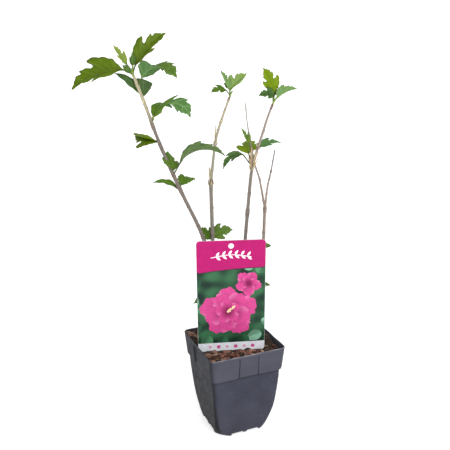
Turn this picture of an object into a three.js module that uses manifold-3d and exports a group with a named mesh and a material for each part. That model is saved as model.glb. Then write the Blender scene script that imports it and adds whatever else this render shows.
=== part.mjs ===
// A young hibiscus shrub in a square nursery pot, in millimetres, +Z up.
// The origin is the middle of the pot's flat underside. X and Y run along the pot's sides,
// and the picture card faces -Y. Angles are in degrees, and an azimuth turns from +X to +Y.
import * as THREE from "three";
import { mergeVertices } from "three/addons/utils/BufferGeometryUtils.js";
import Module from "manifold-3d";

const wasm = await Module();
wasm.setup();

// ---- Driving dimensions ----
const GAP = 0.3; // between pieces that touch

const POT = {
  height: 103,
  rimHalf: 45, // half the outer side at the rim
  skirtHalf: 42.8, // the same at the skirt's lower edge
  skirtHeight: 27,
  shoulder: 0.6, // rise of the ledge under the skirt
  rimCorner: 61, // distance from the axis to the rim's rounded corner
  skirtCorner: 57.5,
  wall: 1.2,
  floor: 2.4,
  overshoot: 1, // of a cutting piece past the face that it opens
  points: 48, // around one ring
  // The tapered body below the skirt: height, half side, distance to the rounded corner.
  body: [
    [0, 32, 37.2],
    [10, 33.9, 42.2],
    [30, 36.8, 49],
    [60, 39.8, 53.7],
    [76, 41, 54.7],
  ],
  recessWidth: 24, // the flat recess in the middle of each side of the skirt
  recessDepth: 1.1,
  recessTop: 4, // below the rim
  recessCutter: 6, // reach of the cutting box outside the skirt
  notchWidth: 34, // the shallow arch under each side
  notchHeight: 2,
  notchDepth: 4,
};

const SOIL = {
  top: 94,
  chips: 12,
  chipLength: 7, // on average
  chipSpread: 0.4, // share of the length that it may be longer or shorter
  chipBroad: 0.6, // breadth as a share of the length
  chipThick: 1.6,
  chipTilt: 25, // at most
  seed: 11,
};

const CARD = {
  width: 75,
  height: 132.5,
  thick: 0.7,
  corner: 4,
  hole: 6,
  holeDrop: 6.5, // from the top edge to the middle of the hole
  foot: [-5.7, -7.8, 92.8], // middle of the lower edge, just in the soil
  turn: -18.3,
  lean: 3.2, // the top comes forward
};

const STAKE = {
  width: 9,
  thick: 0.9,
  above: 96, // along the card's back
  below: 48, // down into the soil
};

const TRUNK = {
  route: [[7.5, 6.5, SOIL.top + GAP], [7.5, 6.5, 104], [8, 7, 115]],
  radius: [5, 4.1],
  flare: 2.4, // added at the ground, and gone within the flare's height
  flareHeight: 6,
  steps: 6,
  sides: 10,
};

// Each limb has its route through a few places, from inside what it grows from to its tip,
// and its radius at foot and tip.
// A knob is a swollen node: share of the length, added radius. A stub is the dead end of an old twig.
const LIMBS = {
  stem_left: {
    route: [[6, 6, 103], [-11, 7, 160], [-30, 12.5, 225], [-52, 17.5, 277], [-71, 21.5, 325],
      [-84.5, 22.5, 365], [-95.5, 23.5, 396]],
    radius: [2.5, 1.35],
    knobs: [[0.6, 0.5], [0.65, 0.4], [0.75, 0.4], [0.837, 0.6], [0.91, 0.4], [0.965, 0.4]],
    steps: 30,
  },
  stem_middle: {
    route: [[7, 9, 108], [-4, 19, 150], [-15, 18, 192], [-17, 16, 225], [-16.5, 20, 286]],
    radius: [2.4, 1.9],
    knobs: [[0.66, 0.4], [0.985, 1]],
    stubs: [{ at: 0.98, to: [-18, 20.5, 299], radius: [1.3, 0.7] }],
    steps: 18,
  },
  branch_middle: {
    route: [[-16, 19.8, 284], [-11.3, 17.7, 325], [-4.8, 14.5, 350], [2.5, 10, 373]],
    radius: [1.5, 1.15],
    knobs: [[0.44, 0.7], [0.7, 0.5], [0.97, 0.6]],
    stubs: [{ at: 0.42, to: [-10.3, 18.4, 343.5], radius: [0.8, 0.5] }],
    steps: 16,
  },
  stem_right: {
    route: [[8.5, 6.5, 112], [12, 2, 165], [15, -1, 220], [18.3, -5.5, 278], [20.5, -8.5, 308]],
    radius: [2.2, 1.6],
    knobs: [[0.7, 0.6], [0.97, 1.1]],
    stubs: [
      { at: 0.97, to: [18.8, -8, 324], radius: [1.2, 0.5] },
      { at: 0.97, to: [22.2, -4.6, 321], radius: [1.1, 0.5] },
    ],
    steps: 20,
  },
  branch_right: {
    route: [[20.7, -9, 306], [28, -14, 333], [33, -18, 353], [37, -21, 366]],
    radius: [1.5, 1.1],
    knobs: [[0.25, 0.5], [0.93, 0.6]],
    steps: 14,
  },
  stem_back: {
    route: [[10, 7, 104], [29, 10, 142], [39.5, 7, 192], [42.5, 6, 253]],
    radius: [2.1, 1.6],
    knobs: [[0.98, 0.6]],
    steps: 16,
  },
  twig_back_left: {
    route: [[42.3, 6, 251], [35, 5, 284], [28.2, 3.6, 303], [20.8, 3.4, 338], [16.3, 1.8, 368]],
    radius: [1.15, 0.55],
    knobs: [[0.72, 0.35]],
    steps: 12,
  },
  twig_back_right: {
    route: [[42.8, 6.1, 251], [46.3, 8, 273], [51, 8, 293], [55, 7.5, 315]],
    radius: [1.15, 0.6],
    knobs: [[0.62, 0.5]],
    steps: 12,
  },
};

const LIMB_SIDES = 7;
const KNOB_LENGTH = 0.022; // share of the limb over which a knob swells
const STUB_STEPS = 2;
const STUB_SIDES = 6;

// The short green shoot at a limb's tip, which carries the leaves of the crown.
const SHOOT = {
  length: 3.4,
  taper: 0.2, // share of the radius lost along it
  steps: 2,
};

// Half of a leaf's outline, base to tip: [place on the midrib, margin across, margin along],
// as shares of the blade's length. The lobe is the side lobe, and the rest are coarse teeth.
const HALF_LEAF = [
  [0.03, 0.1, 0.07],
  [0.09, 0.25, 0.2],
  [0.18, 0.345, 0.4],
  [0.26, 0.34, 0.55], // tip of the side lobe
  [0.37, 0.16, 0.48], // bay between the lobes
  [0.5, 0.225, 0.7],
  [0.6, 0.165, 0.72],
  [0.72, 0.145, 0.83],
  [0.78, 0.1, 0.85],
  [0.9, 0.05, 0.95],
];

const LEAF = {
  thick: 1, // at the midrib, from where it thins to the margins
  stalkRadius: [0.75, 0.6],
  stalkSteps: 2,
  stalkSides: 4,
  sunk: 0.12, // share of the blade that the stalk runs on under the midrib
  slices: 24, // of the curved midrib
};

const BUD = {
  sunk: 0.3, // share of the bud that its stalk runs on inside
  fullness: 0.75, // under 1 the bud is widest below its middle
  steps: 6,
  sides: 7,
};

// A spray sits on a limb at a share of its length. Each of its leaves has a stalk
// [azimuth, rise, length] and a blade [azimuth, rise at its base, droop to its tip, length],
// then the blade's width, how far its halves fold up, its roll to its left and its twist.
const SPRAYS = {
  crown_left: {
    on: "stem_left",
    at: 1,
    leaves: [
      { stalk: [176, 23, 10.3], blade: [157, 2, 43, 56.8], wide: 0.84, fold: 26, roll: -45, twist: 0 },
      { stalk: [26, 65, 8.5], blade: [-9, 58, 27, 45.2], wide: 0.81, fold: 32, roll: 39, twist: 18 },
      { stalk: [161, 56, 8.5], blade: [165, 58, 3, 23.2], wide: 0.76, fold: 19, roll: -55, twist: 1 },
    ],
    buds: [
      { stalk: [172, 42, 2.8], length: 10, radius: 3 },
      { stalk: [160, 84, 8.4], length: 11, radius: 2.8 },
    ],
  },
  leaf_crown_right: {
    on: "stem_left",
    at: 0.965,
    leaves: [
      { stalk: [-51, 54, 9.9], blade: [-47, 58, 117, 47], wide: 0.93, fold: 11, roll: -55, twist: 113 },
    ],
  },
  leaf_crown_back: {
    on: "stem_left",
    at: 0.971,
    leaves: [
      { stalk: [37, 24, 10.5], blade: [73, -17, 46, 28.5], wide: 1.09, fold: 13, roll: 13, twist: 6 },
    ],
  },
  leaf_crown_low: {
    on: "stem_left",
    at: 0.935,
    leaves: [
      { stalk: [128, 37, 2.5], blade: [160, 54, 28, 31.9], wide: 0.59, fold: 23, roll: -44, twist: 4 },
    ],
  },
  leaf_upper: {
    on: "stem_left",
    at: 0.837,
    leaves: [
      { stalk: [-52, 73, 6.7], blade: [-8, 73, 151, 52.4], wide: 0.8, fold: 5, roll: 54, twist: -154 },
    ],
    buds: [{ stalk: [-60, 70, 2], length: 6, radius: 1.3 }],
  },
  leaf_left_side: {
    on: "stem_left",
    at: 0.75,
    leaves: [
      { stalk: [131, 54, 7.6], blade: [116, 15, 9, 37.5], wide: 1.19, fold: 60, roll: -81, twist: -41 },
    ],
  },
  leaf_front_small: {
    on: "stem_left",
    at: 0.67,
    leaves: [
      { stalk: [-63, 8, 4.8], blade: [92, 60, 33, 25.4], wide: 1.21, fold: -8, roll: 10, twist: 25 },
    ],
  },
  leaf_arching: {
    on: "stem_left",
    at: 0.651,
    leaves: [
      { stalk: [-37, 58, 14.7], blade: [-31, 55, 91, 53.8], wide: 0.69, fold: 37, roll: 24, twist: -66 },
    ],
  },
  leaf_low_right: {
    on: "stem_left",
    at: 0.604,
    leaves: [
      { stalk: [-17, 48, 2.6], blade: [24, 55, 96, 23.9], wide: 1.1, fold: 13, roll: 34, twist: -45 },
    ],
  },
  leaf_low_left: {
    on: "stem_left",
    at: 0.597,
    leaves: [
      { stalk: [127, 4, 3.5], blade: [154, 42, 57, 28], wide: 0.52, fold: 27, roll: -27, twist: -7 },
    ],
  },
  leaf_over_card: {
    on: "stem_middle",
    at: 0.633,
    leaves: [{ stalk: [70, 30, 2.2], blade: [-14, 48, 59, 25.2], wide: 1.02, fold: 6, roll: 64, twist: 3 }],
  },
  leaf_over_card_left: {
    on: "stem_middle",
    at: 0.62,
    leaves: [{ stalk: [103, 36, 2.5], blade: [171, 63, 42, 20.9], wide: 1, fold: 17, roll: -75, twist: 6 }],
  },
  crown_middle: {
    on: "branch_middle",
    at: 1,
    leaves: [
      { stalk: [163, 85, 5.3], blade: [-154, 49, -15, 24.4], wide: 0.79, fold: 42, roll: -18, twist: 30 },
      { stalk: [-20, 95, 4.5], blade: [19, 45, 19, 30.6], wide: 0.97, fold: 28, roll: 10, twist: 11 },
      { stalk: [157, 53, 6.6], blade: [186, 25, 62, 18.9], wide: 0.89, fold: 6, roll: -35, twist: -11 },
      { stalk: [70, 70, 5], blade: [75, 50, 40, 20], wide: 0.8, fold: 15, roll: 0, twist: 0 },
    ],
  },
  leaf_knob_back: {
    on: "stem_right",
    at: 0.975,
    leaves: [
      { stalk: [105, 62, 12.5], blade: [66, 38, 28, 28], wide: 1.28, fold: 3, roll: -13, twist: 7 },
    ],
  },
  leaf_knob_upright: {
    on: "stem_right",
    at: 0.98,
    leaves: [
      { stalk: [98, 74, 22], blade: [150, 62, 0, 18], wide: 0.6, fold: 30, roll: -45, twist: 0 },
      { stalk: [98, 74, 21], blade: [20, 82, 0, 10], wide: 0.6, fold: 30, roll: 30, twist: 0 },
    ],
  },
  leaf_knob_left: {
    on: "stem_right",
    at: 0.965,
    leaves: [
      { stalk: [144, 51, 15.6], blade: [164, 17, 106, 29.8], wide: 0.48, fold: 30, roll: -63, twist: -37 },
    ],
  },
  leaf_right_side: {
    on: "branch_right",
    at: 0.17,
    leaves: [
      { stalk: [41, 35, 8.1], blade: [-10, 33, 48, 25.6], wide: 0.71, fold: 13, roll: 44, twist: -26 },
    ],
  },
  crown_right: {
    on: "branch_right",
    at: 1,
    leaves: [
      { stalk: [164, 85, 9.3], blade: [155, 84, 31, 27.6], wide: 1, fold: 19, roll: -61, twist: -15 },
      { stalk: [-24, 53, 5.6], blade: [-40, 42, 35, 23.5], wide: 1, fold: 55, roll: -3, twist: -20 },
      { stalk: [154, 96, 6.8], blade: [187, 29, 54, 19.6], wide: 0.95, fold: 29, roll: -74, twist: 0 },
      { stalk: [60, 65, 6], blade: [72, 48, 40, 20], wide: 0.8, fold: 15, roll: 0, twist: 0 },
    ],
  },
  // Low shoots in the shelter of the card.
  leaf_foot_right_high: {
    on: "stem_back",
    at: 0.66,
    leaves: [{ stalk: [30, 30, 4], blade: [50, 20, 40, 20], wide: 0.8, fold: 14, roll: 20, twist: 0 }],
  },
  leaf_foot_right: {
    on: "stem_back",
    at: 0.37,
    leaves: [{ stalk: [0, 30, 4], blade: [-10, 16, 40, 15], wide: 0.85, fold: 14, roll: 30, twist: 0 }],
  },
  leaf_foot_right_low: {
    on: "stem_back",
    at: 0.25,
    leaves: [{ stalk: [50, 20, 6], blade: [25, 8, 30, 22], wide: 0.85, fold: 14, roll: 20, twist: 0 }],
  },
  leaf_foot_left: {
    on: "stem_left",
    at: 0.14,
    leaves: [{ stalk: [165, 35, 10], blade: [172, 20, 50, 30], wide: 0.85, fold: 14, roll: -20, twist: 0 }],
  },
  leaf_foot_back: {
    on: "stem_middle",
    at: 0.3,
    leaves: [{ stalk: [85, 35, 10], blade: [95, 25, 60, 32], wide: 0.85, fold: 14, roll: 0, twist: 0 }],
  },
};

// ---- Helpers ----
const rad = THREE.MathUtils.degToRad;
const vec = ([x, y, z]) => new THREE.Vector3(x, y, z);

// The direction that an azimuth and a rise above the level give.
function direction(azimuth, rise) {
  const level = Math.cos(rad(rise));
  return new THREE.Vector3(
    level * Math.cos(rad(azimuth)),
    level * Math.sin(rad(azimuth)),
    Math.sin(rad(rise)),
  );
}

// The same run of random numbers for the same seed.
function randomFrom(seed) {
  let state = seed;
  return () => {
    state = (state * 1664525 + 1013904223) % 4294967296;
    return state / 4294967296;
  };
}

// A closed three.js geometry as a manifold-3d solid.
function solid(geometry) {
  const bare = geometry.clone();
  bare.deleteAttribute("normal");
  bare.deleteAttribute("uv");
  const merged = mergeVertices(bare, 1e-4);
  return new wasm.Manifold(
    new wasm.Mesh({
      numProp: 3,
      vertProperties: merged.attributes.position.array,
      triVerts: new Uint32Array(merged.index.array),
    }),
  );
}

function joined(solids) {
  return solids.reduce((whole, piece) => whole.add(piece));
}

// The largest body of a solid, without the scraps that a cut can leave.
function largest(made) {
  return made.decompose().reduce((a, b) => (b.volume() > a.volume() ? b : a));
}

// A solid as a named mesh.
function pieceOf(name, made, material) {
  const mesh = made.getMesh();
  const geometry = new THREE.BufferGeometry();
  geometry.setAttribute("position", new THREE.BufferAttribute(mesh.vertProperties, 3));
  geometry.setIndex(new THREE.BufferAttribute(mesh.triVerts, 1));
  geometry.computeVertexNormals();
  const piece = new THREE.Mesh(geometry, material);
  piece.name = name;
  return piece;
}

// A closed skin over rings of equal count, each ring a list of points that turns
// anticlockwise seen from the side that the rings run to. The faces' diagonals lean to the
// even corners, so that the two sides of a thin twisted blade stay parallel.
function loft(rings) {
  const count = rings[0].length;
  const positions = [];
  const index = [];
  rings.forEach((ring) => ring.forEach((p) => positions.push(p.x, p.y, p.z)));
  for (let row = 0; row < rings.length - 1; row++) {
    for (let k = 0; k < count; k++) {
      const a = row * count + k;
      const b = row * count + ((k + 1) % count);
      const c = b + count;
      const d = a + count;
      index.push(...(k % 2 === 0 ? [a, b, c, a, c, d] : [b, c, d, b, d, a]));
    }
  }
  [0, rings.length - 1].forEach((row) => {
    const middle = new THREE.Vector3();
    rings[row].forEach((p) => middle.addScaledVector(p, 1 / count));
    const hub = positions.length / 3;
    positions.push(middle.x, middle.y, middle.z);
    for (let k = 0; k < count; k++) {
      const a = row * count + k;
      const b = row * count + ((k + 1) % count);
      index.push(...(row === 0 ? [hub, b, a] : [hub, a, b]));
    }
  });
  const geometry = new THREE.BufferGeometry();
  geometry.setAttribute("position", new THREE.Float32BufferAttribute(positions, 3));
  geometry.setIndex(index);
  return geometry;
}

// ---- Pot ----
// One ring of the pot: a square whose corners are cut back to a circle.
function potRing(half, corner, z) {
  return Array.from({ length: POT.points }, (_, k) => {
    const angle = ((k + 0.5) / POT.points) * 2 * Math.PI;
    const side = half / Math.max(Math.abs(Math.cos(angle)), Math.abs(Math.sin(angle)));
    const reach = Math.min(side, corner);
    return new THREE.Vector3(reach * Math.cos(angle), reach * Math.sin(angle), z);
  });
}

// The pot's half side and corner between two stated rows, [height, half side, corner].
function between([z0, half0, corner0], [z1, half1, corner1], z) {
  const share = (z - z0) / (z1 - z0);
  return [z, half0 + share * (half1 - half0), corner0 + share * (corner1 - corner0)];
}

// The pot's inside from one height up to another, drawn in from the outer face by a distance.
function potInside(inset, from, to) {
  const skirt = POT.height - POT.skirtHeight;
  const shelf = [skirt + POT.shoulder + POT.wall, POT.skirtHalf, POT.skirtCorner];
  const rim = [POT.height, POT.rimHalf, POT.rimCorner];
  const rows = [
    between(POT.body[0], POT.body[1], from),
    ...POT.body.filter(([z]) => z > from),
    shelf,
    between(shelf, rim, to),
  ];
  return solid(loft(rows.map(([z, half, corner]) => potRing(half - inset, corner - inset, z))));
}

// The four boxes of the recesses in the skirt, drawn in from the skirt's face by a distance.
function recesses(deep, margin) {
  const slope = Math.atan2(POT.rimHalf - POT.skirtHalf, POT.skirtHeight);
  const sides = [0, 1, 2, 3].map((side) => {
    const box = new THREE.BoxGeometry(
      POT.recessWidth + 2 * margin,
      deep + margin + POT.recessCutter,
      POT.skirtHeight + 2 * margin,
    );
    box.translate(0, (deep + margin - POT.recessCutter) / 2, -POT.skirtHeight / 2 - POT.recessTop);
    box.rotateX(slope).translate(0, -POT.rimHalf, POT.height);
    return solid(box.rotateZ((side * Math.PI) / 2));
  });
  return joined(sides);
}

function buildPot() {
  const skirt = POT.height - POT.skirtHeight;
  const outer = solid(
    loft([
      ...POT.body.map(([z, half, corner]) => potRing(half, corner, z)),
      potRing(POT.skirtHalf, POT.skirtCorner, skirt + POT.shoulder),
      potRing(POT.rimHalf, POT.rimCorner, POT.height),
    ]),
  );
  const backs = recesses(POT.recessDepth, POT.wall);
  const inside = potInside(POT.wall, POT.floor, POT.height + POT.overshoot).subtract(backs);
  let pot = outer.subtract(inside).subtract(recesses(POT.recessDepth, 0));
  for (let side = 0; side < 4; side++) {
    const notch = new THREE.BoxGeometry(POT.notchWidth, 2 * POT.notchDepth, 2 * POT.notchHeight);
    notch.translate(0, -POT.body[0][1], 0).rotateZ((side * Math.PI) / 2);
    pot = pot.subtract(solid(notch));
  }
  return pot;
}

// ---- Potting soil with bark chips ----
function buildSoil(slots) {
  const random = randomFrom(SOIL.seed);
  const inset = POT.wall + GAP;
  let soil = potInside(inset, POT.floor + GAP, SOIL.top);
  soil = soil.subtract(recesses(POT.recessDepth, POT.wall + GAP));
  const reach = POT.rimHalf - inset - SOIL.chipLength;
  const [trunkX, trunkY] = TRUNK.route[0];
  const clear = TRUNK.radius[0] + TRUNK.flare + SOIL.chipLength;
  const chips = [];
  while (chips.length < SOIL.chips) {
    const x = (2 * random() - 1) * reach;
    const y = (2 * random() - 1) * reach;
    const length = SOIL.chipLength * (1 + SOIL.chipSpread * (2 * random() - 1));
    const chip = new THREE.BoxGeometry(length, length * SOIL.chipBroad, SOIL.chipThick);
    chip.rotateX(rad(SOIL.chipTilt * (2 * random() - 1)));
    chip.rotateY(rad(SOIL.chipTilt * (2 * random() - 1)));
    chip.rotateZ(Math.PI * random()).translate(x, y, SOIL.top);
    if (Math.hypot(x - trunkX, y - trunkY) > clear) chips.push(solid(chip));
  }
  chips.forEach((chip) => {
    soil = soil.add(chip);
  });
  return largest(slots.reduce((left, slot) => left.subtract(slot), soil));
}

// ---- Picture card and its stake ----
// Both are drawn upright, facing -Y with the card's foot at the origin, and then placed.
function placeCard(geometry) {
  const [x, y, z] = CARD.foot;
  return geometry.rotateX(rad(CARD.lean)).rotateZ(rad(CARD.turn)).translate(x, y, z);
}

// The card, or the slot for it when it is drawn larger by a margin on each side.
function buildCard(margin) {
  const half = CARD.width / 2 + margin;
  const low = -margin;
  const r = CARD.corner;
  const shape = new THREE.Shape();
  shape.moveTo(-half + r, low).lineTo(half - r, low);
  shape.absarc(half - r, low + r, r, -Math.PI / 2, 0);
  shape.absarc(half - r, CARD.height - r, r, 0, Math.PI / 2);
  shape.absarc(-half + r, CARD.height - r, r, Math.PI / 2, Math.PI);
  shape.absarc(-half + r, low + r, r, Math.PI, 1.5 * Math.PI);
  const hole = new THREE.Path();
  hole.absarc(0, CARD.height - CARD.holeDrop, CARD.hole / 2, 0, 2 * Math.PI, true);
  shape.holes.push(hole);
  const card = new THREE.ExtrudeGeometry(shape, {
    depth: CARD.thick + 2 * margin,
    bevelEnabled: false,
    curveSegments: 5,
  });
  return solid(placeCard(card.rotateX(Math.PI / 2).translate(0, margin, 0)));
}

// The stake, or the slot for it when it is drawn thicker by a margin on each side.
function buildStake(margin) {
  const long = STAKE.above + STAKE.below;
  const stake = new THREE.BoxGeometry(
    STAKE.width + 2 * margin,
    STAKE.thick + 2 * margin,
    long + margin,
  );
  const behind = GAP + STAKE.thick / 2;
  stake.translate(0, behind, STAKE.above - long / 2 - margin / 2);
  return solid(placeCard(stake));
}

// ---- Trunk, stems, branches and bare twigs ----
function routeOf(points) {
  return new THREE.CatmullRomCurve3(points.map(vec), false, "catmullrom", 0.5);
}

// A round limb along a curve. The radius is a function of the share of its length.
function limb(curve, radiusAt, steps, sides) {
  const { normals, binormals } = curve.computeFrenetFrames(steps);
  const rings = Array.from({ length: steps + 1 }, (_, row) => {
    const share = row / steps;
    const centre = curve.getPointAt(share);
    const radius = radiusAt(share);
    return Array.from({ length: sides }, (_, k) => {
      const angle = (k / sides) * 2 * Math.PI;
      return centre
        .clone()
        .addScaledVector(normals[row], radius * Math.cos(angle))
        .addScaledVector(binormals[row], radius * Math.sin(angle));
    });
  });
  return solid(loft(rings));
}

// The radius of a limb at a share of its length: an even taper with its swollen nodes.
function limbRadius({ radius: [foot, tip], knobs = [] }, extra) {
  return (share) => {
    const swelling = knobs.map(([at, height]) => height * Math.exp(-(((share - at) / KNOB_LENGTH) ** 2)));
    return foot + share * (tip - foot) + Math.max(0, ...swelling) + extra;
  };
}

function buildTrunk(extra) {
  const height = TRUNK.route.at(-1)[2] - TRUNK.route[0][2];
  const [foot, top] = TRUNK.radius;
  const radiusAt = (share) => {
    const rise = (share * height) / TRUNK.flareHeight;
    const flare = TRUNK.flare * Math.exp(-3 * rise ** 2);
    return foot + share * (top - foot) + flare + extra;
  };
  return limb(routeOf(TRUNK.route), radiusAt, TRUNK.steps, TRUNK.sides);
}

function buildLimb(spec, extra) {
  const curve = routeOf(spec.route);
  const body = limb(curve, limbRadius(spec, extra), spec.steps, LIMB_SIDES);
  const stubs = (spec.stubs ?? []).map(({ at, to, radius: [foot, tip] }) => {
    const line = new THREE.LineCurve3(curve.getPointAt(at), vec(to));
    const radiusAt = (share) => foot + share * (tip - foot) + extra;
    return limb(line, radiusAt, STUB_STEPS, STUB_SIDES);
  });
  return joined([body, ...stubs]);
}

// ---- Leaves ----
// The blade is carried on a midrib that starts at its rise and droops evenly to its tip.
// Each station of the outline joins a place on the midrib to a point of the margin.
function blade(base, { blade: [azimuth, rise, droop, length], wide, fold, roll, twist }) {
  const level = new THREE.Vector3(-Math.sin(rad(azimuth)), Math.cos(rad(azimuth)), 0);
  const spine = [base.clone()];
  for (let k = 0; k < LEAF.slices; k++) {
    const pitch = rise - (droop * (k + 0.5)) / LEAF.slices;
    spine.push(spine[k].clone().addScaledVector(direction(azimuth, pitch), length / LEAF.slices));
  }
  const place = (across, along, lift) => {
    const at = Math.min(along, 1) * LEAF.slices;
    const k = Math.min(Math.floor(at), LEAF.slices - 1);
    const point = spine[k].clone().lerp(spine[k + 1], at - k);
    const up = new THREE.Vector3().crossVectors(direction(azimuth, rise - droop * along), level);
    const tilt = rad(roll + twist * along) + Math.sign(across) * rad(fold);
    const outward = level.clone().multiplyScalar(Math.cos(tilt)).addScaledVector(up, Math.sin(tilt));
    const face = up.clone().multiplyScalar(Math.cos(tilt)).addScaledVector(level, -Math.sin(tilt));
    return point.addScaledVector(outward, across * wide * length).addScaledVector(face, lift);
  };
  const half = LEAF.thick / 2;
  const rings = [
    [0, 0.02, 0],
    ...HALF_LEAF,
    [0.99, 0.012, 1],
  ].map(([rib, across, along]) => [
    place(across, along, 0),
    place(0, rib, half),
    place(-across, along, 0),
    place(0, rib, -half),
  ]);
  return solid(loft(rings));
}

// A stalk that leaves in one direction and turns evenly into another.
function stalk(base, [azimuth, rise, length], towards, overrun) {
  const start = direction(azimuth, rise);
  const points = [base.clone()];
  for (let k = 0; k < LEAF.stalkSteps; k++) {
    points.push(points[k].clone().addScaledVector(start, length / LEAF.stalkSteps));
  }
  const end = points.at(-1);
  points.push(end.clone().addScaledVector(towards, overrun));
  const curve = new THREE.CatmullRomCurve3(points, false, "catmullrom", 0.5);
  const [foot, tip] = LEAF.stalkRadius;
  const radiusAt = (share) => foot + share * (tip - foot);
  return { end, body: limb(curve, radiusAt, LEAF.stalkSteps + 2, LEAF.stalkSides) };
}

function leaf(base, spec) {
  const [azimuth, rise, , length] = spec.blade;
  const { end, body } = stalk(base, spec.stalk, direction(azimuth, rise), LEAF.sunk * length);
  return body.add(blade(end, spec));
}

// A flower bud or a leaf bud: an egg with a pointed tip, on a short stalk.
function bud(base, spec) {
  const [azimuth, rise] = spec.stalk;
  const axis = direction(azimuth, rise);
  const { end, body } = stalk(base, spec.stalk, axis, spec.length * BUD.sunk);
  const profile = Array.from({ length: BUD.steps + 1 }, (_, k) => {
    const share = k / BUD.steps;
    const across = spec.radius * Math.sin(Math.PI * share ** BUD.fullness);
    return new THREE.Vector2(across, spec.length * share);
  });
  profile[0].x = 0;
  profile[BUD.steps].x = 0;
  const egg = new THREE.LatheGeometry(profile, BUD.sides);
  const turn = new THREE.Quaternion().setFromUnitVectors(new THREE.Vector3(0, 1, 0), axis);
  egg.applyQuaternion(turn).translate(end.x, end.y, end.z);
  return body.add(solid(egg));
}

// A spray at a limb's tip grows from a short tip of shoot; one on its side from its own stalk.
function buildSpray(spec) {
  const limbSpec = LIMBS[spec.on];
  const curve = routeOf(limbSpec.route);
  const foot = curve.getPointAt(spec.at);
  const made = [];
  if (spec.at === 1) {
    const axis = curve.getTangentAt(1);
    foot.addScaledVector(axis, GAP);
    const end = foot.clone().addScaledVector(axis, SHOOT.length);
    const radiusAt = (share) => limbSpec.radius[1] * (1 - SHOOT.taper * share);
    made.push(limb(new THREE.LineCurve3(foot.clone(), end), radiusAt, SHOOT.steps, LIMB_SIDES));
    foot.lerp(end, 1 / 3);
  }
  spec.leaves.forEach((one) => made.push(leaf(foot, one)));
  (spec.buds ?? []).forEach((one) => made.push(bud(foot, one)));
  return joined(made);
}

// ---- Assembly ----
const MATERIALS = {
  pot: new THREE.MeshStandardMaterial({ color: "#50525b", roughness: 0.55, metalness: 0 }),
  soil: new THREE.MeshStandardMaterial({ color: "#5a4234", roughness: 0.95, metalness: 0 }),
  card: new THREE.MeshStandardMaterial({ color: "#d81b84", roughness: 0.4, metalness: 0 }),
  stake: new THREE.MeshStandardMaterial({ color: "#eef0ee", roughness: 0.5, metalness: 0 }),
  bark: new THREE.MeshStandardMaterial({ color: "#8a8074", roughness: 0.85, metalness: 0 }),
  shoot: new THREE.MeshStandardMaterial({ color: "#b5ab85", roughness: 0.75, metalness: 0 }),
  leaf: new THREE.MeshStandardMaterial({ color: "#5f8a22", roughness: 0.6, metalness: 0 }),
};

const plant = new THREE.Group();

plant.add(pieceOf("pot", buildPot(), MATERIALS.pot));
plant.add(pieceOf("potting_soil", buildSoil([buildStake(GAP), buildCard(GAP)]), MATERIALS.soil));
plant.add(pieceOf("label_card", buildCard(0), MATERIALS.card));
plant.add(pieceOf("label_stake", buildStake(0), MATERIALS.stake));

plant.add(pieceOf("trunk", buildTrunk(0), MATERIALS.bark));

// Every limb, drawn thicker by the gap, cuts whatever is drawn after it.
const thick = [buildTrunk(GAP)];
const clearOf = (made, others) => largest(others.reduce((left, other) => left.subtract(other), made));
for (const [name, spec] of Object.entries(LIMBS)) {
  const material = name.startsWith("stem") ? MATERIALS.bark : MATERIALS.shoot;
  plant.add(pieceOf(name, clearOf(buildLimb(spec, 0), thick), material));
  thick.push(buildLimb(spec, GAP));
}

for (const [name, spec] of Object.entries(SPRAYS)) {
  plant.add(pieceOf(name, clearOf(buildSpray(spec), thick), MATERIALS.leaf));
}

export default plant;
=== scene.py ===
"""A young hibiscus shrub in a square nursery pot with a picture card.

Tables are in millimetres and degrees, meshes in metres, +Z up. The origin is the middle of the
pot's flat underside, and the card faces -Y. An azimuth turns from +X to +Y.
"""

import bpy
import numpy as np
from bpy.props import FloatProperty, FloatVectorProperty, IntProperty, PointerProperty
from mathutils import Matrix


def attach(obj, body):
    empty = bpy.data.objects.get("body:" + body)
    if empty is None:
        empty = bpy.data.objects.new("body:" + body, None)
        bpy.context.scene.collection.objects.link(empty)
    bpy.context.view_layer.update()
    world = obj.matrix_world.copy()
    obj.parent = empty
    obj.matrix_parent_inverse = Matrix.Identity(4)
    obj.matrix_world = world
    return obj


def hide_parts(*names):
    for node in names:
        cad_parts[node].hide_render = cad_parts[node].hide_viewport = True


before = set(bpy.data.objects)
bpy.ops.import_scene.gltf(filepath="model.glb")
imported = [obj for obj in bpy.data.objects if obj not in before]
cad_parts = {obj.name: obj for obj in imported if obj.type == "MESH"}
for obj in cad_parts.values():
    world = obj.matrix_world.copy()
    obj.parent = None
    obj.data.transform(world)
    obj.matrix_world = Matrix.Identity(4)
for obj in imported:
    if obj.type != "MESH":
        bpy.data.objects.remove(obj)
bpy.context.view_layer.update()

bl_info = {
    "name": "Hibiscus Shrub in a Nursery Pot",
    "version": (1, 0, 0),
    "blender": (4, 5, 0),
    "location": "View3D > Sidebar > Shrub",
    "description": "Makes a potted hibiscus shrub with its card, soil, bark and leaves",
    "category": "Object",
}

MM = 0.001

# How far the camera looks to the right of +Y and up, its roll, and what it looks at, in metres.
VIEW_TURN, VIEW_RISE, VIEW_ROLL = 22.7, -15, -0.64
VIEW_TARGET = np.array([-7.3, 3.1, 237.3]) * MM
# The key lamp's height over -Y in degrees, and its distance and width in metres.
KEY_RISE, KEY_DISTANCE, KEY_WIDTH = 29, 1.6, 0.8
# The floor's reach, the backdrop's distance and the backdrop's reach, in metres.
FLOOR_REACH, BACKDROP_AT, BACKDROP_REACH = 9, 4, 2.4

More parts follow.
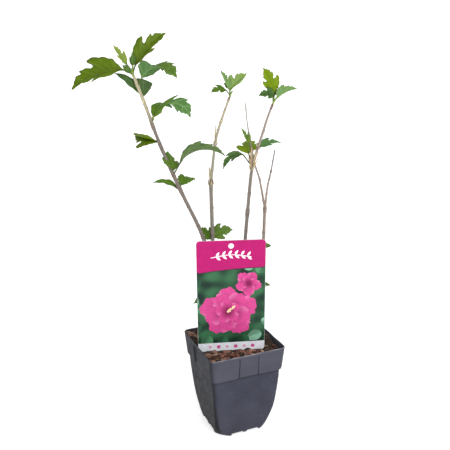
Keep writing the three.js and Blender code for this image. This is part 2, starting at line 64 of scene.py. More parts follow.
# ---- Tables ----
# The pot's tapered body: height, half side, distance to the rounded corner.
POT_BODY = [[0, 32, 37.2], [10, 33.9, 42.2], [30, 36.8, 49], [60, 39.8, 53.7], [76, 41, 54.7]]
POT_SKIRT = [[76.6, 42.8, 57.5], [103, 45, 61]]
POT_WALL = 1.2
POT_FLOOR = 2.4
POT_GAP = 0.3
SOIL_EDGE = [44.1, 59.6]  # half side and corner of the pot at the soil's top
# How far out each kind of litter lies, and how far it keeps from the card and the trunk.
LITTER = {"chips": [40.5, 3.2], "crumbs": [42.2, 1.4], "straw": [38, 6]}

CARD_FOOT = np.array([-5.7, -7.8, 92.8])
CARD_TURN = -18.3
CARD_LEAN = 3.2
CARD_THICKNESS = 0.45
CARD_CORNER = 4
HOLE_DROP = 6.5
PRINT_MARGIN = 0.15  # from the card's edge to its print
# The picture's ends above the card's foot and below its top, the band's depth, the strip's height.
PICTURE_FOOT, PICTURE_DROP, BAND_DEPTH, STRIP_HEIGHT = 9, 26, 33, 12
# The boxes that printed leaves and petals keep within.
LEAF_AREA, PETAL_AREA = [[-37.2, 10], [37.2, 101.5]], [[-37.2, 11], [37.2, 101]]
# How far the printed plates stand before the card's back.
PRINT = {"field": 0.5, "leaves": 0.52, "petals": 0.56, "strip": 0.66, "line": 0.66, "band": 0.68,
         "marks": 0.69}
# The rings of printed petals: [across, up, length, heading of the first, count].
PETALS = [[-3.5, 49, 31, 18, 5], [-3.5, 49, 25, 50, 5], [-3.5, 49, 15, 30, 5],
          [19, 82, 15, 60, 5], [19, 82, 10, 25, 4]]

TRUNK = {"route": [[7.5, 6.5, 92.5], [7.5, 6.5, 104], [8, 7, 115]], "radius": [5, 4.1]}
TRUNK_FLARE = [2.4, 6]  # added radius at the soil, and the height over which it goes

# Each limb has its route from inside what it grows from to its tip, its radius at foot and tip,
# its swollen nodes [share, added radius, darkness], its dead stubs [share, end, radius, radius at
# the end], its colours at foot and tip, the shares between which they fade, and its tufts of dry
# scales [share, count, length].
LIMBS = {
    "stem_left": {
        "route": [[6, 6, 103], [-11, 7, 160], [-30, 12.5, 225], [-52, 17.5, 277], [-71, 21.5, 325],
                  [-84.5, 22.5, 365], [-95.5, 23.5, 396]],
        "radius": [2.5, 1.35],
        "knobs": [[0.6, 0.5, 0.2], [0.65, 0.4, 0.3], [0.75, 0.4, 0.25], [0.837, 0.6, 0.3],
                  [0.91, 0.4, 0.1], [0.965, 0.4, 0.1]],
        "colours": ["#736a64", "#aea789"],
        "fade": [0.8, 0.93],
        "tufts": [[0.905, 1, 3.4], [0.7, 1, 2]],
    },
    "stem_middle": {
        "route": [[7, 9, 108], [-4, 19, 150], [-15, 18, 192], [-17, 16, 225], [-16.5, 20, 286]],
        "radius": [2.4, 1.9],
        "knobs": [[0.66, 0.4, 0.3], [0.985, 1, 0.5]],
        "stubs": [[0.98, [-18, 20.5, 299], 1.3, 0.7]],
        "colours": ["#6f6964", "#7b756b"],
        "tufts": [[0.975, 6, 4.5]],
    },
    "branch_middle": {
        "route": [[-16, 19.8, 284], [-11.3, 17.7, 325], [-4.8, 14.5, 350], [2.5, 10, 373]],
        "radius": [1.5, 1.15],
        "knobs": [[0.44, 0.7, 0], [0.7, 0.5, 0], [0.97, 0.5, 0.3], [0.994, 0.2, 1]],
        "stubs": [[0.42, [-10.3, 18.4, 343.5], 0.8, 0.5]],
        "colours": ["#918e7c", "#aea38c"],
        "tufts": [[0.43, 5, 3.4], [0.7, 4, 2.6]],
    },
    "stem_right": {
        "route": [[8.5, 6.5, 112], [12, 2, 165], [15, -1, 220], [18.3, -5.5, 278],
                  [20.5, -8.5, 308]],
        "radius": [2.2, 1.6],
        "knobs": [[0.7, 0.6, 0.3], [0.97, 1.1, 0.3]],
        "stubs": [[0.97, [18.8, -8, 324], 1.2, 0.5], [0.97, [22.2, -4.6, 321], 1.1, 0.5]],
        "colours": ["#6f6964", "#7b756b"],
        "tufts": [[0.94, 8, 6], [0.97, 10, 11], [0.99, 6, 12]],
    },
    "branch_right": {
        "route": [[20.7, -9, 306], [28, -14, 333], [33, -18, 353], [37, -21, 366]],
        "radius": [1.5, 1.1],
        "knobs": [[0.25, 0.5, 0.4], [0.93, 0.4, 0.5], [0.98, 0.3, 1]],
        "colours": ["#90827a", "#978a83"],
        "tufts": [[0.1, 5, 7], [0.24, 3, 3]],
    },
    "stem_back": {
        "route": [[10, 7, 104], [29, 10, 142], [39.5, 7, 192], [42.5, 6, 253]],
        "radius": [2.1, 1.6],
        "knobs": [[0.98, 0.6, 0.4]],
        "colours": ["#6c6863", "#8d7e74"],
    },
    "twig_back_left": {
        "route": [[42.3, 6, 251], [35, 5, 284], [28.2, 3.6, 303], [20.8, 3.4, 338],
                  [16.3, 1.8, 368]],
        "radius": [1.15, 0.55],
        "knobs": [[0.72, 0.35, 0.4]],
        "colours": ["#8a7870", "#a09a95"],
    },
    "twig_back_right": {
        "route": [[42.8, 6.1, 251], [46.3, 8, 273], [51, 8, 293], [55, 7.5, 315]],
        "radius": [1.15, 0.6],
        "knobs": [[0.62, 0.5, 0.5]],
        "colours": ["#9c877c", "#7f7a78"],
    },
}
KNOB_LENGTH = 0.022  # share of the limb over which a knob swells
NODE_SPACING = 21  # between the old nodes on a limb

# Half of a leaf's outline, base to tip: [place on the midrib, margin across, margin along] as
# shares of the blade, then the count of side veins up to there. A vein ends at each whole count.
TEETH = 11  # fine teeth on half of a leaf
NARROWEST = 0.008  # least half width of a blade
BLADE_MESH = 150, 7  # rows along half of a blade, and faces across it
HALF_LEAF = np.array([
    [0, 0.02, 0, 0.5],
    [0.03, 0.1, 0.07, 1],
    [0.09, 0.25, 0.2, 2],
    [0.18, 0.345, 0.4, 3],
    [0.26, 0.34, 0.55, 4],
    [0.37, 0.16, 0.48, 4.5],
    [0.5, 0.225, 0.7, 5],
    [0.6, 0.165, 0.72, 5.5],
    [0.72, 0.14, 0.83, 6],
    [0.79, 0.09, 0.86, 6.5],
    [0.9, 0.034, 0.94, 7],
    [0.99, 0.008, 1, 7.5],
])

# The greens of the leaves' upper sides.
GREENS = {
    "bright": "#6f8804",
    "crown": "#566d08",
    "fresh": "#50701c",
    "deep": "#446330",
    "young": "#829640",
    "pale": "#86a356",
    "light": "#5a782c",
    "sage": "#546a3c",
    "blue": "#5a8449",
}

BUD_GREEN = "#4f7130"

# A spray sits on a limb at a share of its length. A leaf is its stalk [azimuth, rise, length],
# its blade [azimuth, rise, droop, length], [width, fold, roll, twist] with, for some, how plain
# its outline is, and its green. A bud is its stalk, its length and its radius.
SPRAYS = {
    "crown_left": ["stem_left", 1, [
        [[176, 23, 10.3], [157, 2, 43, 56.8], [0.84, 26, -45, 0], "crown"],
        [[26, 65, 8.5], [-9, 58, 27, 45.2], [0.81, 32, 39, 18], "crown"],
        [[161, 60, 10.5], [165, 58, 3, 22.5], [0.62, 19, -55, 1], "young"],
    ], [[[172, 42, 2.8], 10, 3], [[-20, 88, 8.4], 11, 2.8]]],
    "leaf_crown_right": ["stem_left", 0.965, [
        [[-51, 54, 9.9], [-47, 58, 117, 47], [0.93, 11, -55, 113], "light"]], []],
    "leaf_crown_back": ["stem_left", 0.971, [
        [[37, 24, 10.5], [73, -17, 46, 28.5], [1.09, -13, 193, 6, 0.8], "deep"]], []],
    "leaf_crown_low": ["stem_left", 0.935, [
        [[128, 37, 2.5], [160, 54, 28, 31.9], [0.59, 23, -44, 4, 0.9], "deep"]], []],
    "leaf_upper": ["stem_left", 0.837, [
        [[-52, 73, 6.7], [-8, 73, 151, 52.4], [0.8, 5, 54, -154], "fresh"],
    ], [[[-60, 70, 2], 6.5, 0.9]]],
    "leaf_left_side": ["stem_left", 0.75, [
        [[131, 54, 7.6], [116, 15, 9, 37.5], [1.19, 60, -81, -41], "crown"]], []],
    "leaf_front_small": ["stem_left", 0.67, [
        [[-63, 8, 4.8], [92, 60, 33, 25.4], [1.21, -8, 10, 25], "fresh"]], []],
    "leaf_arching": ["stem_left", 0.651, [
        [[-37, 58, 14.7], [-31, 55, 91, 53.8], [0.69, -37, 204, -66], "sage"]], []],
    "leaf_low_right": ["stem_left", 0.604, [
        [[-17, 48, 2.6], [24, 55, 96, 23.9], [1.1, 13, 34, -45], "fresh"]], []],
    "leaf_low_left": ["stem_left", 0.597, [
        [[127, 4, 3.5], [154, 42, 57, 28], [0.52, 27, -27, -7, 0.7], "fresh"]], []],
    "leaf_over_card": ["stem_middle", 0.633, [
        [[70, 30, 2.2], [-14, 48, 59, 25.2], [1.02, 6, 64, 3], "light"]], []],
    "leaf_over_card_left": ["stem_middle", 0.62, [
        [[103, 36, 2.5], [171, 63, 42, 20.9], [1, 17, -75, 6], "fresh"]], []],
    "crown_middle": ["branch_middle", 1, [
        [[163, 85, 5.3], [-154, 49, -15, 24.4], [0.79, 42, -18, 30], "young"],
        [[-20, 95, 4.5], [19, 45, 19, 30.6], [0.97, 28, 10, 11], "pale"],
        [[157, 53, 6.6], [186, 25, 62, 18.9], [0.89, 6, -35, -11], "fresh"],
        [[70, 70, 5], [75, 50, 40, 20], [0.8, 15, 0, 0], "deep"],
    ], []],
    "leaf_knob_back": ["stem_right", 0.975, [
        [[105, 62, 12.5], [66, 38, 28, 28], [1.28, 3, -13, 7], "bright"]], []],
    "leaf_knob_upright": ["stem_right", 0.98, [
        [[98, 74, 22], [150, 62, 0, 18], [0.6, 30, -45, 0], "light"],
        [[98, 74, 21], [20, 82, 0, 10], [0.6, 30, 30, 0], "young"],
    ], []],
    "leaf_knob_left": ["stem_right", 0.965, [
        [[144, 51, 15.6], [164, 17, 106, 29.8], [0.48, 30, -63, -37], "deep"]], []],
    "leaf_right_side": ["branch_right", 0.17, [
        [[41, 35, 8.1], [-10, 33, 48, 25.6], [0.71, 13, 44, -26], "blue"]], []],
    "crown_right": ["branch_right", 1, [
        [[164, 85, 9.3], [155, 84, 31, 27.6], [1, 19, -61, -15], "bright"],
        [[-24, 53, 5.6], [-40, 42, 35, 23.5], [1, 55, -3, -20], "pale"],
        [[154, 96, 6.8], [187, 29, 54, 19.6], [0.95, 29, -74, 0], "deep"],
        [[60, 65, 6], [72, 48, 40, 20], [0.8, 15, 0, 0], "fresh"],
    ], []],
    "leaf_foot_right_high": ["stem_back", 0.66, [
        [[30, 30, 4], [50, 20, 40, 20], [0.8, 14, 20, 0], "fresh"]], []],
    "leaf_foot_right": ["stem_back", 0.37, [
        [[0, 30, 4], [-10, 16, 40, 15], [0.85, 14, 30, 0], "deep"]], []],
    "leaf_foot_right_low": ["stem_back", 0.25, [
        [[50, 20, 6], [25, 8, 30, 22], [0.85, 14, 20, 0], "deep"]], []],
    "leaf_foot_left": ["stem_left", 0.14, [
        [[165, 35, 10], [172, 20, 50, 30], [0.85, 14, -20, 0], "fresh"]], []],
    "leaf_foot_back": ["stem_middle", 0.3, [
        [[85, 35, 10], [95, 25, 60, 32], [0.85, 14, 0, 0], "fresh"]], []],
}
SHOOT_LENGTH = 3.4
SHOOT_GAP = 0.3
SHOOT_ROOT = 0.4  # how far the shoot starts inside its limb


# ---- Settings in the sidebar ----
def linear(code):
    """Linear RGBA of an sRGB hex colour: v / 12.92 when dark, else ((v + 0.055) / 1.055) ^ 2.4."""
    v = np.array([int(code[k:k + 2], 16) for k in (1, 3, 5)]) / 255
    v = np.where(v <= 0.04045, v / 12.92, ((v + 0.055) / 1.055) ** 2.4)
    return (*v.tolist(), 1.0)


class PotSettings(bpy.types.PropertyGroup):
    """Sizes and colour of the nursery pot."""

    wall: FloatProperty(
        name="Wall", description="Thickness of the pot's wall",
        default=POT_WALL * MM, min=0.4 * MM, unit="LENGTH")
    recess_width: FloatProperty(
        name="Recess width", description="Width of the flat recess in each side of the skirt",
        default=24 * MM, unit="LENGTH")
    recess_depth: FloatProperty(
        name="Recess depth", description="Depth of the flat recess in each side of the skirt",
        default=1.3 * MM, unit="LENGTH")
    colour: FloatVectorProperty(
        name="Plastic", description="Colour of the moulded plastic", subtype="COLOR", size=4,
        min=0, max=1, default=linear("#3e3f4b"))


class SoilSettings(bpy.types.PropertyGroup):
    """The potting soil and what lies on it."""

    top: FloatProperty(
        name="Level", description="Height of the soil above the pot's underside",
        default=93.4 * MM, unit="LENGTH")
    chips: IntProperty(
        name="Bark chips", description="Number of bark chips on the soil", default=190, min=0)
    chip_length: FloatProperty(
        name="Chip length", description="Usual length of a bark chip",
        default=7.6 * MM, unit="LENGTH")
    colour: FloatVectorProperty(
        name="Compost", description="Colour of the moist compost", subtype="COLOR", size=4,
        min=0, max=1, default=linear("#33251c"))


class CardSettings(bpy.types.PropertyGroup):
    """Sizes and inks of the picture card."""

    width: FloatProperty(
        name="Width", description="Width of the card", default=75 * MM, unit="LENGTH")
    height: FloatProperty(
        name="Height", description="Height of the card", default=132.5 * MM, unit="LENGTH")
    band: FloatVectorProperty(
        name="Band", description="Ink of the band at the top", subtype="COLOR", size=4,
        min=0, max=1, default=linear("#b00a67"))
    blossom: FloatVectorProperty(
        name="Blossom", description="Ink of the printed blossom", subtype="COLOR", size=4,
        min=0, max=1, default=linear("#cb4389"))


class WoodSettings(bpy.types.PropertyGroup):
    """The bark of the trunk, stems and twigs."""

    relief: FloatProperty(
        name="Relief", description="Depth of the ridges in the bark",
        default=0.09 * MM, unit="LENGTH")
    step: FloatProperty(
        name="Step", description="Distance between the rings of a limb's mesh",
        default=0.8 * MM, min=0.2 * MM, unit="LENGTH")


class LeafSettings(bpy.types.PropertyGroup):
    """The leaves and buds."""

    thickness: FloatProperty(
        name="Thickness", description="Thickness of a blade as a share of its length",
        default=0.0105, min=0.002, subtype="FACTOR")
    tooth: FloatProperty(
        name="Fine teeth", description="Depth of the fine teeth as a share of the blade's length",
        default=0.024, min=0, subtype="FACTOR")
    quilting: FloatProperty(
        name="Quilting", description="How far the blade swells between its veins",
        default=0.3 * MM, unit="LENGTH")


class StageSettings(bpy.types.PropertyGroup):
    """Floor, light and camera."""

    lens: FloatProperty(
        name="Lens", description="Focal length of the camera in millimetres", default=47.2, min=1)
    distance: FloatProperty(
        name="Distance", description="From the camera to the middle of the shrub",
        default=640.8 * MM, unit="LENGTH")
    key_power: FloatProperty(
        name="Key light", description="Power of the large soft key light", default=15,
        unit="POWER")
    sky: FloatProperty(
        name="Surrounding light", description="Strength of the even white light all round",
        default=0.6)


# ---- Arrays and curves ----
def unit(v):
    """Vectors at length one."""
    return v / np.linalg.norm(v, axis=-1, keepdims=True)


def turns(count):
    """Even angles round a full turn."""
    return np.linspace(0, 2 * np.pi, count, endpoint=False)


def spun(points, degrees):
    """Points of a plane turned about its origin: (x cos a - y sin a, x sin a + y cos a)."""
    c, s = np.cos(np.radians(degrees)), np.sin(np.radians(degrees))
    return points @ np.array([[c, s], [-s, c]])


def seed_of(name):
    """A fixed seed from the letters of a name."""
    return sum(map(ord, name))


def direction(azimuth, rise):
    """Unit vectors from azimuth a and rise r: (cos r cos a, cos r sin a, sin r)."""
    a, r = np.broadcast_arrays(np.radians(azimuth), np.radians(rise))
    return np.stack([np.cos(r) * np.cos(a), np.cos(r) * np.sin(a), np.sin(r)], -1)


def outward(heading, turn):
    """The unit vector square to a heading, at a turn about it: side cos t + other sin t."""
    side = unit(np.cross(heading, np.eye(3)[np.argmin(np.abs(heading))]))
    return np.cos(turn) * side + np.sin(turn) * np.cross(heading, side)


def smooth(x):
    """A soft step from 0 at x = 0 to 1 at x = 1: 3x^2 - 2x^3."""
    x = np.clip(x, 0, 1)
    return x * x * (3 - 2 * x)


def egg(share, power):
    """The half width of an egg, blunt end first: sin(pi s^power), not quite shut at its ends."""
    return np.sin(np.pi * np.clip(share, 0.03, 0.985) ** power)


def hump(x, at, width):
    """A bell of height 1 about a place: exp(-((x - at) / width)^2)."""
    return np.exp(-(((x - at) / width) ** 2))


def ripples(u, v, size, seed):
    """A smooth random field from -1 to 1: sines of random heading and phase, of about a size."""
    rng, waves = np.random.default_rng(seed), 14
    angle = rng.uniform(0, 2 * np.pi, waves)
    number = 2 * np.pi / (size * rng.uniform(0.6, 1.8, waves))
    phase = rng.uniform(0, 2 * np.pi, waves)
    u, v = np.broadcast_arrays(u, v)
    along = u[..., None] * np.cos(angle) * number + v[..., None] * np.sin(angle) * number
    return np.sin(along + phase).sum(-1) / np.sqrt(waves) / 1.6


class Route:
    """A smooth curve through places, read by the share of its length.

    Each span is a uniform Catmull-Rom cubic, and the ends are carried on by reflection. The length
    is measured over the first three columns.
    """

    def __init__(self, places):
        p = np.asarray(places, float)
        p = np.vstack([2 * p[0] - p[1], p, 2 * p[-1] - p[-2]])
        a, b, c, d = (p[k:len(p) - 3 + k, None] for k in range(4))
        t = np.linspace(0, 1, 120, endpoint=False)[None, :, None]
        spans = 0.5 * (2 * b + (c - a) * t + (2 * a - 5 * b + 4 * c - d) * t**2
                       + (3 * b - a - 3 * c + d) * t**3)
        self.dense = np.vstack([spans.reshape(-1, p.shape[1]), p[-2:-1]])
        walked = np.r_[0, np.cumsum(np.linalg.norm(np.diff(self.dense[:, :3], axis=0), axis=1))]
        self.length = walked[-1]
        self.share = walked / walked[-1]

    def at(self, share):
        """The points at shares of the length."""
        return np.stack([np.interp(share, self.share, axis) for axis in self.dense.T], -1)

    def heading(self, share):
        """The unit tangent at one share of the length."""
        return unit(self.at(min(share + 0.002, 1)) - self.at(max(share - 0.002, 0)))


def tube(centre, radius, sides):
    """Rings round a line of centres: centre + radius (cos a side + sin a other), square to it."""
    heading = unit(np.gradient(centre, axis=0))
    spare = np.eye(3)[np.argmin(np.abs(heading.mean(0)))]
    side = unit(np.cross(heading, spare))
    other = np.cross(heading, side)
    angle = turns(sides)[:, None]
    radius = radius[:, None] if radius.ndim == 1 else radius
    ring = np.cos(angle) * side[:, None] + np.sin(angle) * other[:, None]
    return centre[:, None] + radius[..., None] * ring


def rounded_ends(share, start, stop):
    """The factor that closes a tube in two domes over its first and last shares: sqrt(1 - x^2)."""
    near = np.clip(1 - share / start, 0, 1) if start else np.zeros_like(share)
    far = np.clip(1 - (1 - share) / stop, 0, 1) if stop else np.zeros_like(share)
    return np.sqrt(1.0003 - np.maximum(near, far) ** 2)


class Pile:
    """Closed skins gathered into one mesh. A skin is a grid of rings, fanned shut at both ends.

    Fields are numbers or, when their name ends in tint, colours that each point carries.
    """

    def __init__(self):
        self.points, self.quads, self.tris = [], [], []
        self.quad_parts, self.tri_parts, self.fields, self.total = [], [], {}, 0

    def add(self, rings, parts=0, loop=False, **fields):
        """Adds a skin in millimetres. A looped one is shut by its first ring instead of by fans."""
        rows, count = rings.shape[:2]
        around = np.arange(count)
        after = (around + 1) % count
        row = np.arange(rows if loop else rows - 1)[:, None]
        low, high = row * count, (row + 1) % rows * count
        quads = np.stack([low + around, low + after, high + after, high + around], -1)
        quads = quads.reshape(-1, 4)
        hub, last = rows * count, (rows - 1) * count
        tris = np.concatenate([
            np.stack([np.full(count, hub), after, around], -1),
            np.stack([np.full(count, hub + 1), last + around, last + after], -1),
        ])
        points = np.concatenate([rings.reshape(-1, 3), rings[:1].mean(1), rings[-1:].mean(1)])
        if loop:
            points, tris = points[:-2], tris[:0]
        fans = np.concatenate([quads[:, [0, 1, 2]], quads[:, [0, 2, 3]], tris])
        a, b, c = (points[fans[:, k]] - points[0] for k in range(3))
        if np.einsum("ij,ij->", a, np.cross(b, c)) < 0:
            quads, tris = quads[:, ::-1], tris[:, ::-1]
        parts = np.broadcast_to(parts, (count,))
        self.points.append(points)
        self.quads.append(quads + self.total)
        self.tris.append(tris + self.total)
        self.quad_parts.append(np.tile(parts, len(row)))
        self.tri_parts.append(np.tile(parts, 2)[:len(tris)])
        for name, value in fields.items():
            shape = (rows, count, 4) if name.endswith("tint") else (rows, count)
            value = np.broadcast_to(np.asarray(value, float), shape)
            flat = value.reshape(rows * count, *shape[2:])
            if not loop:
                flat = np.concatenate([flat, value[:1].mean(1), value[-1:].mean(1)])
            self.fields.setdefault(name, []).append(flat)
        self.total += len(points)

    def piece(self, name, slot, materials, nodes=(), flat=False):
        """Makes the object in metres. It rides with the root and stands for the nodes."""
        points = np.concatenate(self.points) * MM
        quads, tris = np.concatenate(self.quads), np.concatenate(self.tris)
        corners = np.concatenate([quads.ravel(), tris.ravel()])
        starts = np.concatenate([4 * np.arange(len(quads)),
                                 4 * len(quads) + 3 * np.arange(len(tris))])
        mesh = bpy.data.meshes.new(name)
        mesh.vertices.add(len(points))
        mesh.vertices.foreach_set("co", points.ravel())
        mesh.loops.add(len(corners))
        mesh.loops.foreach_set("vertex_index", corners)
        mesh.polygons.add(len(starts))
        mesh.polygons.foreach_set("loop_start", starts)
        parts = np.concatenate(self.quad_parts + self.tri_parts)
        for material in materials:
            mesh.materials.append(material)
        mesh.polygons.foreach_set("material_index", parts.astype(np.int32))
        mesh.polygons.foreach_set("use_smooth", np.full(len(starts), not flat))
        mesh.update(calc_edges=True)
        for field, values in self.fields.items():
            kind, key = ("FLOAT_COLOR", "color") if field.endswith("tint") else ("FLOAT", "value")
            layer = mesh.attributes.new(field, kind, "POINT")
            layer.data.foreach_set(key, np.concatenate(values).ravel().astype(np.float32))
        made = bpy.data.objects.new(name, mesh)
        bpy.context.scene.collection.objects.link(made)
        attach(made, "root")
        if nodes:
            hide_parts(*nodes)


# ---- Materials ----
def add_node(tree, kind, inputs=None, **settings):
    """Adds one node. An input is a value, a socket, or a node whose first output is meant."""
    made = tree.nodes.new("ShaderNode" + kind)
    for key, value in settings.items():
        setattr(made, key, value)
    for key, value in (inputs or {}).items():
        if isinstance(value, bpy.types.Node):
            value = next(out for out in value.outputs if out.enabled)
        if isinstance(value, bpy.types.NodeSocket):
            tree.links.new(value, made.inputs[key])
        else:
            made.inputs[key].default_value = value
    return made


def new_material(name):
    """A named material with its empty tree, and the tree's Object coordinates."""
    material = bpy.data.materials.new(name)
    material.use_nodes = True
    tree = material.node_tree
    tree.nodes.clear()
    return material, tree, add_node(tree, "TexCoord").outputs["Object"]


def finish(tree, inputs, height=None, depth=0.001, strength=1.0):
    """Ends a tree in a Principled shader, with a height as a bump of a depth in metres."""
    if height is not None:
        bump = {"Height": height, "Distance": depth, "Strength": strength}
        inputs = {**inputs, "Normal": add_node(tree, "Bump", bump)}
    add_node(tree, "OutputMaterial", {"Surface": add_node(tree, "BsdfPrincipled", inputs)})


def mottled(tree, colour, vector, size, dark, light, **noise):
    """A colour that a noise of a size in metres makes darker and lighter, and that noise."""
    cloud = add_node(tree, "TexNoise", {"Vector": vector, "Scale": 1 / size, **noise})
    tone = add_node(tree, "MapRange", {0: cloud, 1: 0.3, 2: 0.7, 3: dark, 4: light})
    return add_node(tree, "HueSaturation", {"Color": colour, "Value": tone}), cloud


def clouded(tree, vector, size, first, second):
    """Two colours mixed by a noise of a size in metres, and that noise."""
    cloud = add_node(tree, "TexNoise", {"Vector": vector, "Scale": 1 / size, "Detail": 3.0})
    return add_node(tree, "Mix", {"Factor": cloud, 6: linear(first), 7: linear(second)},
                    data_type="RGBA"), cloud


def grained_material(name, colour, tones, size, depth, shader, **noise):
    """A material whose tone and relief follow one noise. The colour is a value or a field's name."""
    material, tree, place = new_material(name)
    if isinstance(colour, str):
        colour = add_node(tree, "Attribute", attribute_name=colour)
    tinted, grain = mottled(tree, colour, place, size, *tones, **noise)
    finish(tree, {"Base Color": tinted, **shader}, grain, depth)
    return material


def moist_compost(colour):
    """Moist peat and fibre: nearly black, crumbly and quite matte."""
    return grained_material("moist_compost", colour, (0.35, 1.7), 0.0018, 0.0008,
                            {"Roughness": 0.92}, Detail=6.0, Roughness=0.65)


def composted_bark():
    """Chips of pine bark: each its own red-brown, with layered grain and a dull skin."""
    return grained_material("composted_bark", "chip_tint", (0.45, 1.2), 0.0016, 0.0004,
                            {"Roughness": 0.8}, Detail=5.0, Distortion=1.2)


def green_stalk():
    """Leaf stalks and buds: soft green skin, satin, finely ribbed."""
    return grained_material("green_stalk", "leaf_tint", (0.8, 1.2), 0.0012, 0.0001,
                            {"Roughness": 0.5, "Specular IOR Level": 0.15}, Detail=4.0)


def moulded_polypropylene(colour):
    """Anthracite PP from a steel mould: matte, faintly grained, greyer where edges show wear."""
    material, tree, place = new_material("moulded_polypropylene")
    tinted = mottled(tree, colour, place, 0.022, 0.82, 1.12, Detail=4.0)[0]
    # Scuffs are thin pale strokes, 0.5 mm wide and a few millimetres long.
    stretched = add_node(tree, "Mapping", {"Vector": place, "Rotation": (0.5, 0.3, 0.4),
                                           "Scale": (1 / 0.0011, 1 / 0.0011, 1 / 0.012)})
    strokes = add_node(tree, "TexNoise", {"Vector": stretched, "Scale": 1.0, "Detail": 2.0})
    scuffs = add_node(tree, "MapRange", {0: strokes, 1: 0.7, 2: 0.8, 3: 0.0, 4: 0.35})
    patches = add_node(tree, "TexNoise", {"Vector": place, "Scale": 1 / 0.006, "Detail": 3.0})
    # The edge field holds wear and a painted highlight beside the recesses; both are mixed towards
    # pale grey below.
    edge = add_node(tree, "Attribute", attribute_name="edge").outputs["Fac"]
    rubs = add_node(tree, "MapRange", {0: patches, 1: 0.35, 2: 0.65, 3: 0.25, 4: 1.0})
    edge_rubs_and_highlight = add_node(tree, "Math", {0: edge, 1: rubs}, operation="MULTIPLY")
    # The skirt is a little paler than the body.
    height = add_node(tree, "SeparateXYZ", {0: place}).outputs["Z"]
    skirt = add_node(tree, "MapRange", {0: height, 1: 0.0758, 2: 0.0766, 3: 0.0, 4: 0.09})
    wear_and_highlight = add_node(tree, "Math", {0: edge_rubs_and_highlight, 1: skirt}, operation="ADD")
    pale = add_node(tree, "Math", {0: wear_and_highlight, 1: scuffs}, operation="ADD", use_clamp=True)
    painted = add_node(tree, "Mix", {"Factor": pale, 6: tinted, 7: linear("#8f9098")},
                       data_type="RGBA")
    # Dust and splashed compost brown the foot of the pot.
    low = add_node(tree, "MapRange", {0: height, 1: 0.05, 2: 0.0, 3: 0.0, 4: 0.28})
    dust = add_node(tree, "Math", {0: low, 1: patches}, operation="MULTIPLY")
    dusted = add_node(tree, "Mix", {"Factor": dust, 6: painted, 7: linear("#45403f")},
                      data_type="RGBA")
    # Painted shade: dark lines beside the recesses and under the skirt, and a dark sheet over the -X
    # side.
    seam = add_node(tree, "Attribute", attribute_name="seam").outputs["Fac"]
    darkened_for_shade = add_node(tree, "Mix", {"Factor": seam, 6: dusted, 7: linear("#1d1e22")},
                     data_type="RGBA")
    rough = add_node(tree, "MapRange", {0: patches, 1: 0.3, 2: 0.7, 3: 0.42, 4: 0.6})
    # The mould's spark grain is 0.25 mm, drawn at 0.6 mm so that it shows.
    grain = add_node(tree, "TexNoise", {"Vector": place, "Scale": 1 / 0.0006, "Detail": 2.0})
    finish(tree, {"Base Color": darkened_for_shade, "Roughness": rough, "Specular IOR Level": 0.05},
           grain, 0.00005, 0.5)
    return material


def offset_print():
    """Printed, coated card: inks with a fine screen and a satin face."""
    material, tree, place = new_material("offset_print")
    ink = add_node(tree, "Attribute", attribute_name="ink_tint")
    # A printer's screen is 0.15 mm, drawn at 0.5 mm so that it shows.
    screen = add_node(tree, "TexNoise", {"Vector": place, "Scale": 1 / 0.0005, "Detail": 1.0})
    washes = add_node(tree, "TexNoise", {"Vector": place, "Scale": 1 / 0.006, "Detail": 3.0})
    both = add_node(tree, "Math", {0: screen, 1: washes}, operation="ADD")
    tone = add_node(tree, "MapRange", {0: both, 1: 0.7, 2: 1.3, 3: 0.88, 4: 1.12})
    tinted = add_node(tree, "HueSaturation", {"Color": ink, "Value": tone})
    finish(tree, {"Base Color": tinted, "Roughness": 0.42, "Specular IOR Level": 0.2})
    return material


def white_card_stock():
    """White plastic card: bright and even, with a faint calendered cloud and satin gloss."""
    material, tree, place = new_material("white_card_stock")
    mixed, cloud = clouded(tree, place, 0.004, "#eff1f0", "#e2e6e6")
    finish(tree, {"Base Color": mixed, "Roughness": 0.4}, cloud, 0.00004)
    return material


def lit_opal_acrylic():
    """A light table and its backdrop: white opal acrylic, matte, lit evenly from behind."""
    material, tree, place = new_material("lit_opal_acrylic")
    mixed = clouded(tree, place, 0.01, "#fbfbfb", "#f6f6f6")[0]
    finish(tree, {"Base Color": mixed, "Roughness": 0.7, "Emission Color": (1, 1, 1, 1),
                  "Emission Strength": 0.5})
    return material


def young_bark():
    """Thin bark of a young shrub: matte, in lengthwise streaks, with pale dots and dark nodes."""
    material, tree, place = new_material("young_bark")
    tint = add_node(tree, "Attribute", attribute_name="bark_tint")
    # Streaks are 0.7 mm wide and 6 mm long, and run up the stems.
    grained = add_node(tree, "Mapping", {"Vector": place,
                                         "Scale": (1 / 0.0007, 1 / 0.0007, 1 / 0.006)})
    tinted, streaks = mottled(tree, tint, grained, 1, 0.82, 1.18, Detail=4.0)
    dots = add_node(tree, "TexVoronoi", {"Vector": place, "Scale": 1 / 0.0022})
    spots = add_node(tree, "MapRange", {0: dots, 1: 0.14, 2: 0.2, 3: 0.55, 4: 0.0})
    dotted = add_node(tree, "Mix", {"Factor": spots, 6: tinted, 7: linear("#ab9f88")},
                      data_type="RGBA")
    knot = add_node(tree, "Attribute", attribute_name="knot").outputs["Fac"]
    banded = add_node(tree, "Mix", {"Factor": knot, 6: dotted, 7: linear("#5c3a32")},
                      data_type="RGBA")
    raised = add_node(tree, "Math", {0: streaks, 1: spots}, operation="ADD")
    finish(tree, {"Base Color": banded, "Roughness": 0.78, "Specular IOR Level": 0.25},
           raised, 0.00015)
    return material


